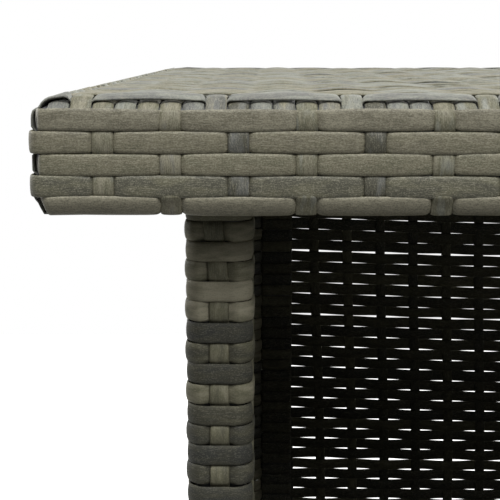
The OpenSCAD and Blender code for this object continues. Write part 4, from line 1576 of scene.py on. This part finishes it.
class BARTABLE_OT_shelf_weaves(bpy.types.Operator):
    """Weaves both shelves and folds their edges down round the tubes"""

    bl_idname = "bar_table.shelf_weaves"
    bl_label = "Shelf weaves"

    def execute(self, context):
        for seed, shelf in enumerate(("upper", "lower")):
            low, high = weave_sheet(shelf + "_shelf_weave", 80 + 10 * seed, 0, 2, 1, 1)
            self.fold_shelf(shelf, low, high, 81 + 10 * seed)
        return {"FINISHED"}

    def fold_shelf(self, shelf, low, high, seed):
        """The strips' ends go down the shelf's edges and in under its tubes"""
        folds = StripMesh(seed)
        tube_low, tube_high = box_mm(shelf + "_shelf_side_tubes")
        end_low, end_high = box_mm(shelf + "_shelf_end_tubes")
        edge_top, under = low[2], tube_low[2]
        side = tube_high[2] - under
        along = spaced(low[0] + SHELF_FOLD_ROOM, high[0] - SHELF_FOLD_ROOM, FOLD_PITCH)
        bolts = bolt_places("shelf_bolts", 1)
        across = away_from(spaced(end_low[1], end_high[1], FOLD_PITCH), bolts, SHELF_EDGE_BOLT_ROOM)
        edges = (
            (PLAN_YZ, (tube_low[1], tube_high[1]), along),
            (PLAN_XZ, (-end_high[0], end_high[0]), across),
        )
        for axes, faces, places in edges:
            for sign, face in zip((-1, 1), faces):
                corners = [(face, edge_top), (face, under), (face - sign * side, under)]
                add_folds(folds, fold_line(corners, -sign), axes, places, width=FOLD_WIDTH)
        folds.build(shelf + "_shelf_folds", open_strip_material_painted_shade(), (shelf + "_shelf_edge_wraps",))


class BARTABLE_OT_hard_finishes(bpy.types.Operator):
    """Gives the tubes, feet, bushes and fasteners their finishes"""

    bl_idname = "bar_table.hard_finishes"
    bl_label = "Hard finishes"

    def execute(self, context):
        finishes = {
            "steel": powder_coated_steel(),
            "plastic": moulded_polyethylene(),
            "zinc": zinc_plated_steel(),
        }
        for name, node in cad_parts.items():
            if name.startswith("foot_") or name.endswith("_bushes"):
                kind = "plastic"
            elif name.endswith("_bolts") or name.endswith("_rivet_nuts"):
                kind = "zinc"
            else:
                kind = "steel"
            if not node.material_slots:
                raise RuntimeError(f"{name} has no material slot")
            for place in node.material_slots:
                place.material = finishes[kind]
        return {"FINISHED"}


def add_seen(tree):
    """Adds what is 1 to the camera's rays, and what is also 1 to reflected and glass ones"""
    path = add_node(tree, "LightPath")
    seen = by_camera = path.outputs["Is Camera Ray"]
    for ray in ("Is Glossy Ray", "Is Transmission Ray"):
        seen = add_node(tree, "Math", {0: seen, 1: path.outputs[ray]}, operation="MAXIMUM")
    return by_camera, seen


def backdrop_material(name, colour, shade):
    """White to the camera and in reflections, dark paper to the light that it throws back"""
    material, tree = new_material(name)
    by_camera, seen = add_seen(tree)
    glow = add_node(tree, "Math", {0: seen, 1: 0.85}, operation="MULTIPLY")
    tone = add_node(tree, "Mix", {0: by_camera, 6: shade, 7: colour}, data_type="RGBA")
    shader = add_node(
        tree, "BsdfPrincipled",
        {"Base Color": tone.outputs[2], "Roughness": 0.9, "Emission Color": (1, 1, 1, 1),
         "Emission Strength": glow},
    )
    add_node(tree, "OutputMaterial", {"Surface": shader})
    return material


def add_lamp(name, place, target, size, power):
    """A square soft lamp that points at the target"""
    data = bpy.data.lights.new(name, "AREA")
    data.shape = "SQUARE"
    data.size = size
    data.energy = power
    lamp = add_object(name, data)
    lamp.location = Vector(place)
    lamp.rotation_mode = "QUATERNION"
    lamp.rotation_quaternion = (Vector(target) - Vector(place)).to_track_quat("-Z", "Y")


# Each lamp's name, place, target and size in metres
LAMPS = (
    ("overhead", (-0.5, -1.3, 3.6), (-0.2, -0.2, 1), 2.0),
    ("staff", (1.2, -2.6, 3.0), (-0.2, -0.2, 0.9), 1.1),
    ("left", (-3.2, 1.6, 1.9), (-0.4, 0, 0.7), 1.6),
    ("guest", (2.6, 2.4, 2.2), (0.1, 0.1, 0.7), 1.6),
)


class BARTABLE_OT_stage(bpy.types.Operator):
    """Sets up the floor, the world, the lamps and the camera"""

    bl_idname = "bar_table.stage"
    bl_label = "Stage"

    def execute(self, context):
        scene = context.scene
        stage = scene.bar_table_stage
        scene.view_settings.view_transform = "Standard"
        self.add_floor(scene)
        self.set_world(scene, stage)
        for name, place, target, size in LAMPS:
            add_lamp(name + "_lamp", place, target, size, getattr(stage, name + "_power"))
        self.add_camera(scene, stage)
        return {"FINISHED"}

    def add_floor(self, scene):
        """A pale floor just under the feet"""
        colours = scene.bar_table_colours
        mesh = bpy.data.meshes.new("floor")
        reach, height = 3.5, -0.0002
        corners = [(x * reach, y * reach, height) for x, y in ((-1, -1), (1, -1), (1, 1), (-1, 1))]
        mesh.from_pydata(corners, [], [(0, 1, 2, 3)])
        mesh.materials.append(
            backdrop_material("pale_floor", colours.floor_white, colours.floor_shade)
        )
        floor = add_object("floor", mesh)

    def set_world(self, scene, stage):
        """A white background, and a little light from all round"""
        world = bpy.data.worlds.new("studio")
        world.use_nodes = True
        scene.world = world
        tree = world.node_tree
        tree.nodes.clear()
        seen = add_seen(tree)[1]
        level = add_node(
            tree, "MapRange", {"Value": seen, "To Min": stage.world_level, "To Max": 1.0}
        )
        light = add_node(tree, "Background", {"Color": (1, 1, 1, 1), "Strength": level})
        add_node(tree, "OutputWorld", {"Surface": light})

    def add_camera(self, scene, stage):
        """The camera where the photograph was taken from"""
        data = bpy.data.cameras.new("camera")
        data.lens = stage.lens
        data.sensor_width = 36
        data.clip_start = 0.01
        data.clip_end = 100
        camera = add_object("camera", data)
        camera.location = stage.camera_place
        camera.rotation_euler = (math.pi / 2 - stage.camera_pitch, 0, stage.camera_yaw)
        scene.camera = camera


class BARTABLE_PT_pieces(bpy.types.Panel):
    """Lists the pieces of the table in the sidebar"""

    bl_idname = "BARTABLE_PT_pieces"
    bl_label = "Bar table"
    bl_space_type = "VIEW_3D"
    bl_region_type = "UI"
    bl_category = "Bar table"

    def draw(self, context):
        for operator in OPERATORS:
            self.layout.operator(operator.bl_idname)
        for group in GROUPS:
            box = self.layout.box()
            box.label(text=GROUPS[group].__doc__)
            for name in GROUPS[group].__annotations__:
                box.prop(getattr(context.scene, group), name)


GROUPS = {
    "bar_table_colours": BarTableColours,
    "bar_table_close": BarTableCloseWeave,
    "bar_table_leg": BarTableLegWeave,
    "bar_table_open": BarTableOpenWeave,
    "bar_table_stage": BarTableStage,
}
OPERATORS = (
    BARTABLE_OT_hard_finishes,
    BARTABLE_OT_lengthwise_strips,
    BARTABLE_OT_crosswise_strips,
    BARTABLE_OT_apron_rows,
    BARTABLE_OT_leg_weaves,
    BARTABLE_OT_guest_panel_weave,
    BARTABLE_OT_left_end_weave,
    BARTABLE_OT_right_rail_strips,
    BARTABLE_OT_shelf_weaves,
    BARTABLE_OT_stage,
)


def register():
    """Registers the settings, the operators and the panel"""
    for name, group in GROUPS.items():
        bpy.utils.register_class(group)
        setattr(bpy.types.Scene, name, PointerProperty(type=group))
    for operator in OPERATORS:
        bpy.utils.register_class(operator)
    bpy.utils.register_class(BARTABLE_PT_pieces)


def unregister():
    """Takes back what register did"""
    bpy.utils.unregister_class(BARTABLE_PT_pieces)
    for operator in reversed(OPERATORS):
        bpy.utils.unregister_class(operator)
    for name, group in GROUPS.items():
        delattr(bpy.types.Scene, name)
        bpy.utils.unregister_class(group)


def main():
    """Builds every piece in order"""
    register()
    for operator in OPERATORS:
        group, name = operator.bl_idname.split(".")
        if getattr(getattr(bpy.ops, group), name)() != {"FINISHED"}:
            raise RuntimeError(f"{operator.bl_label} did not finish")


if __name__ == "__main__":
    main()
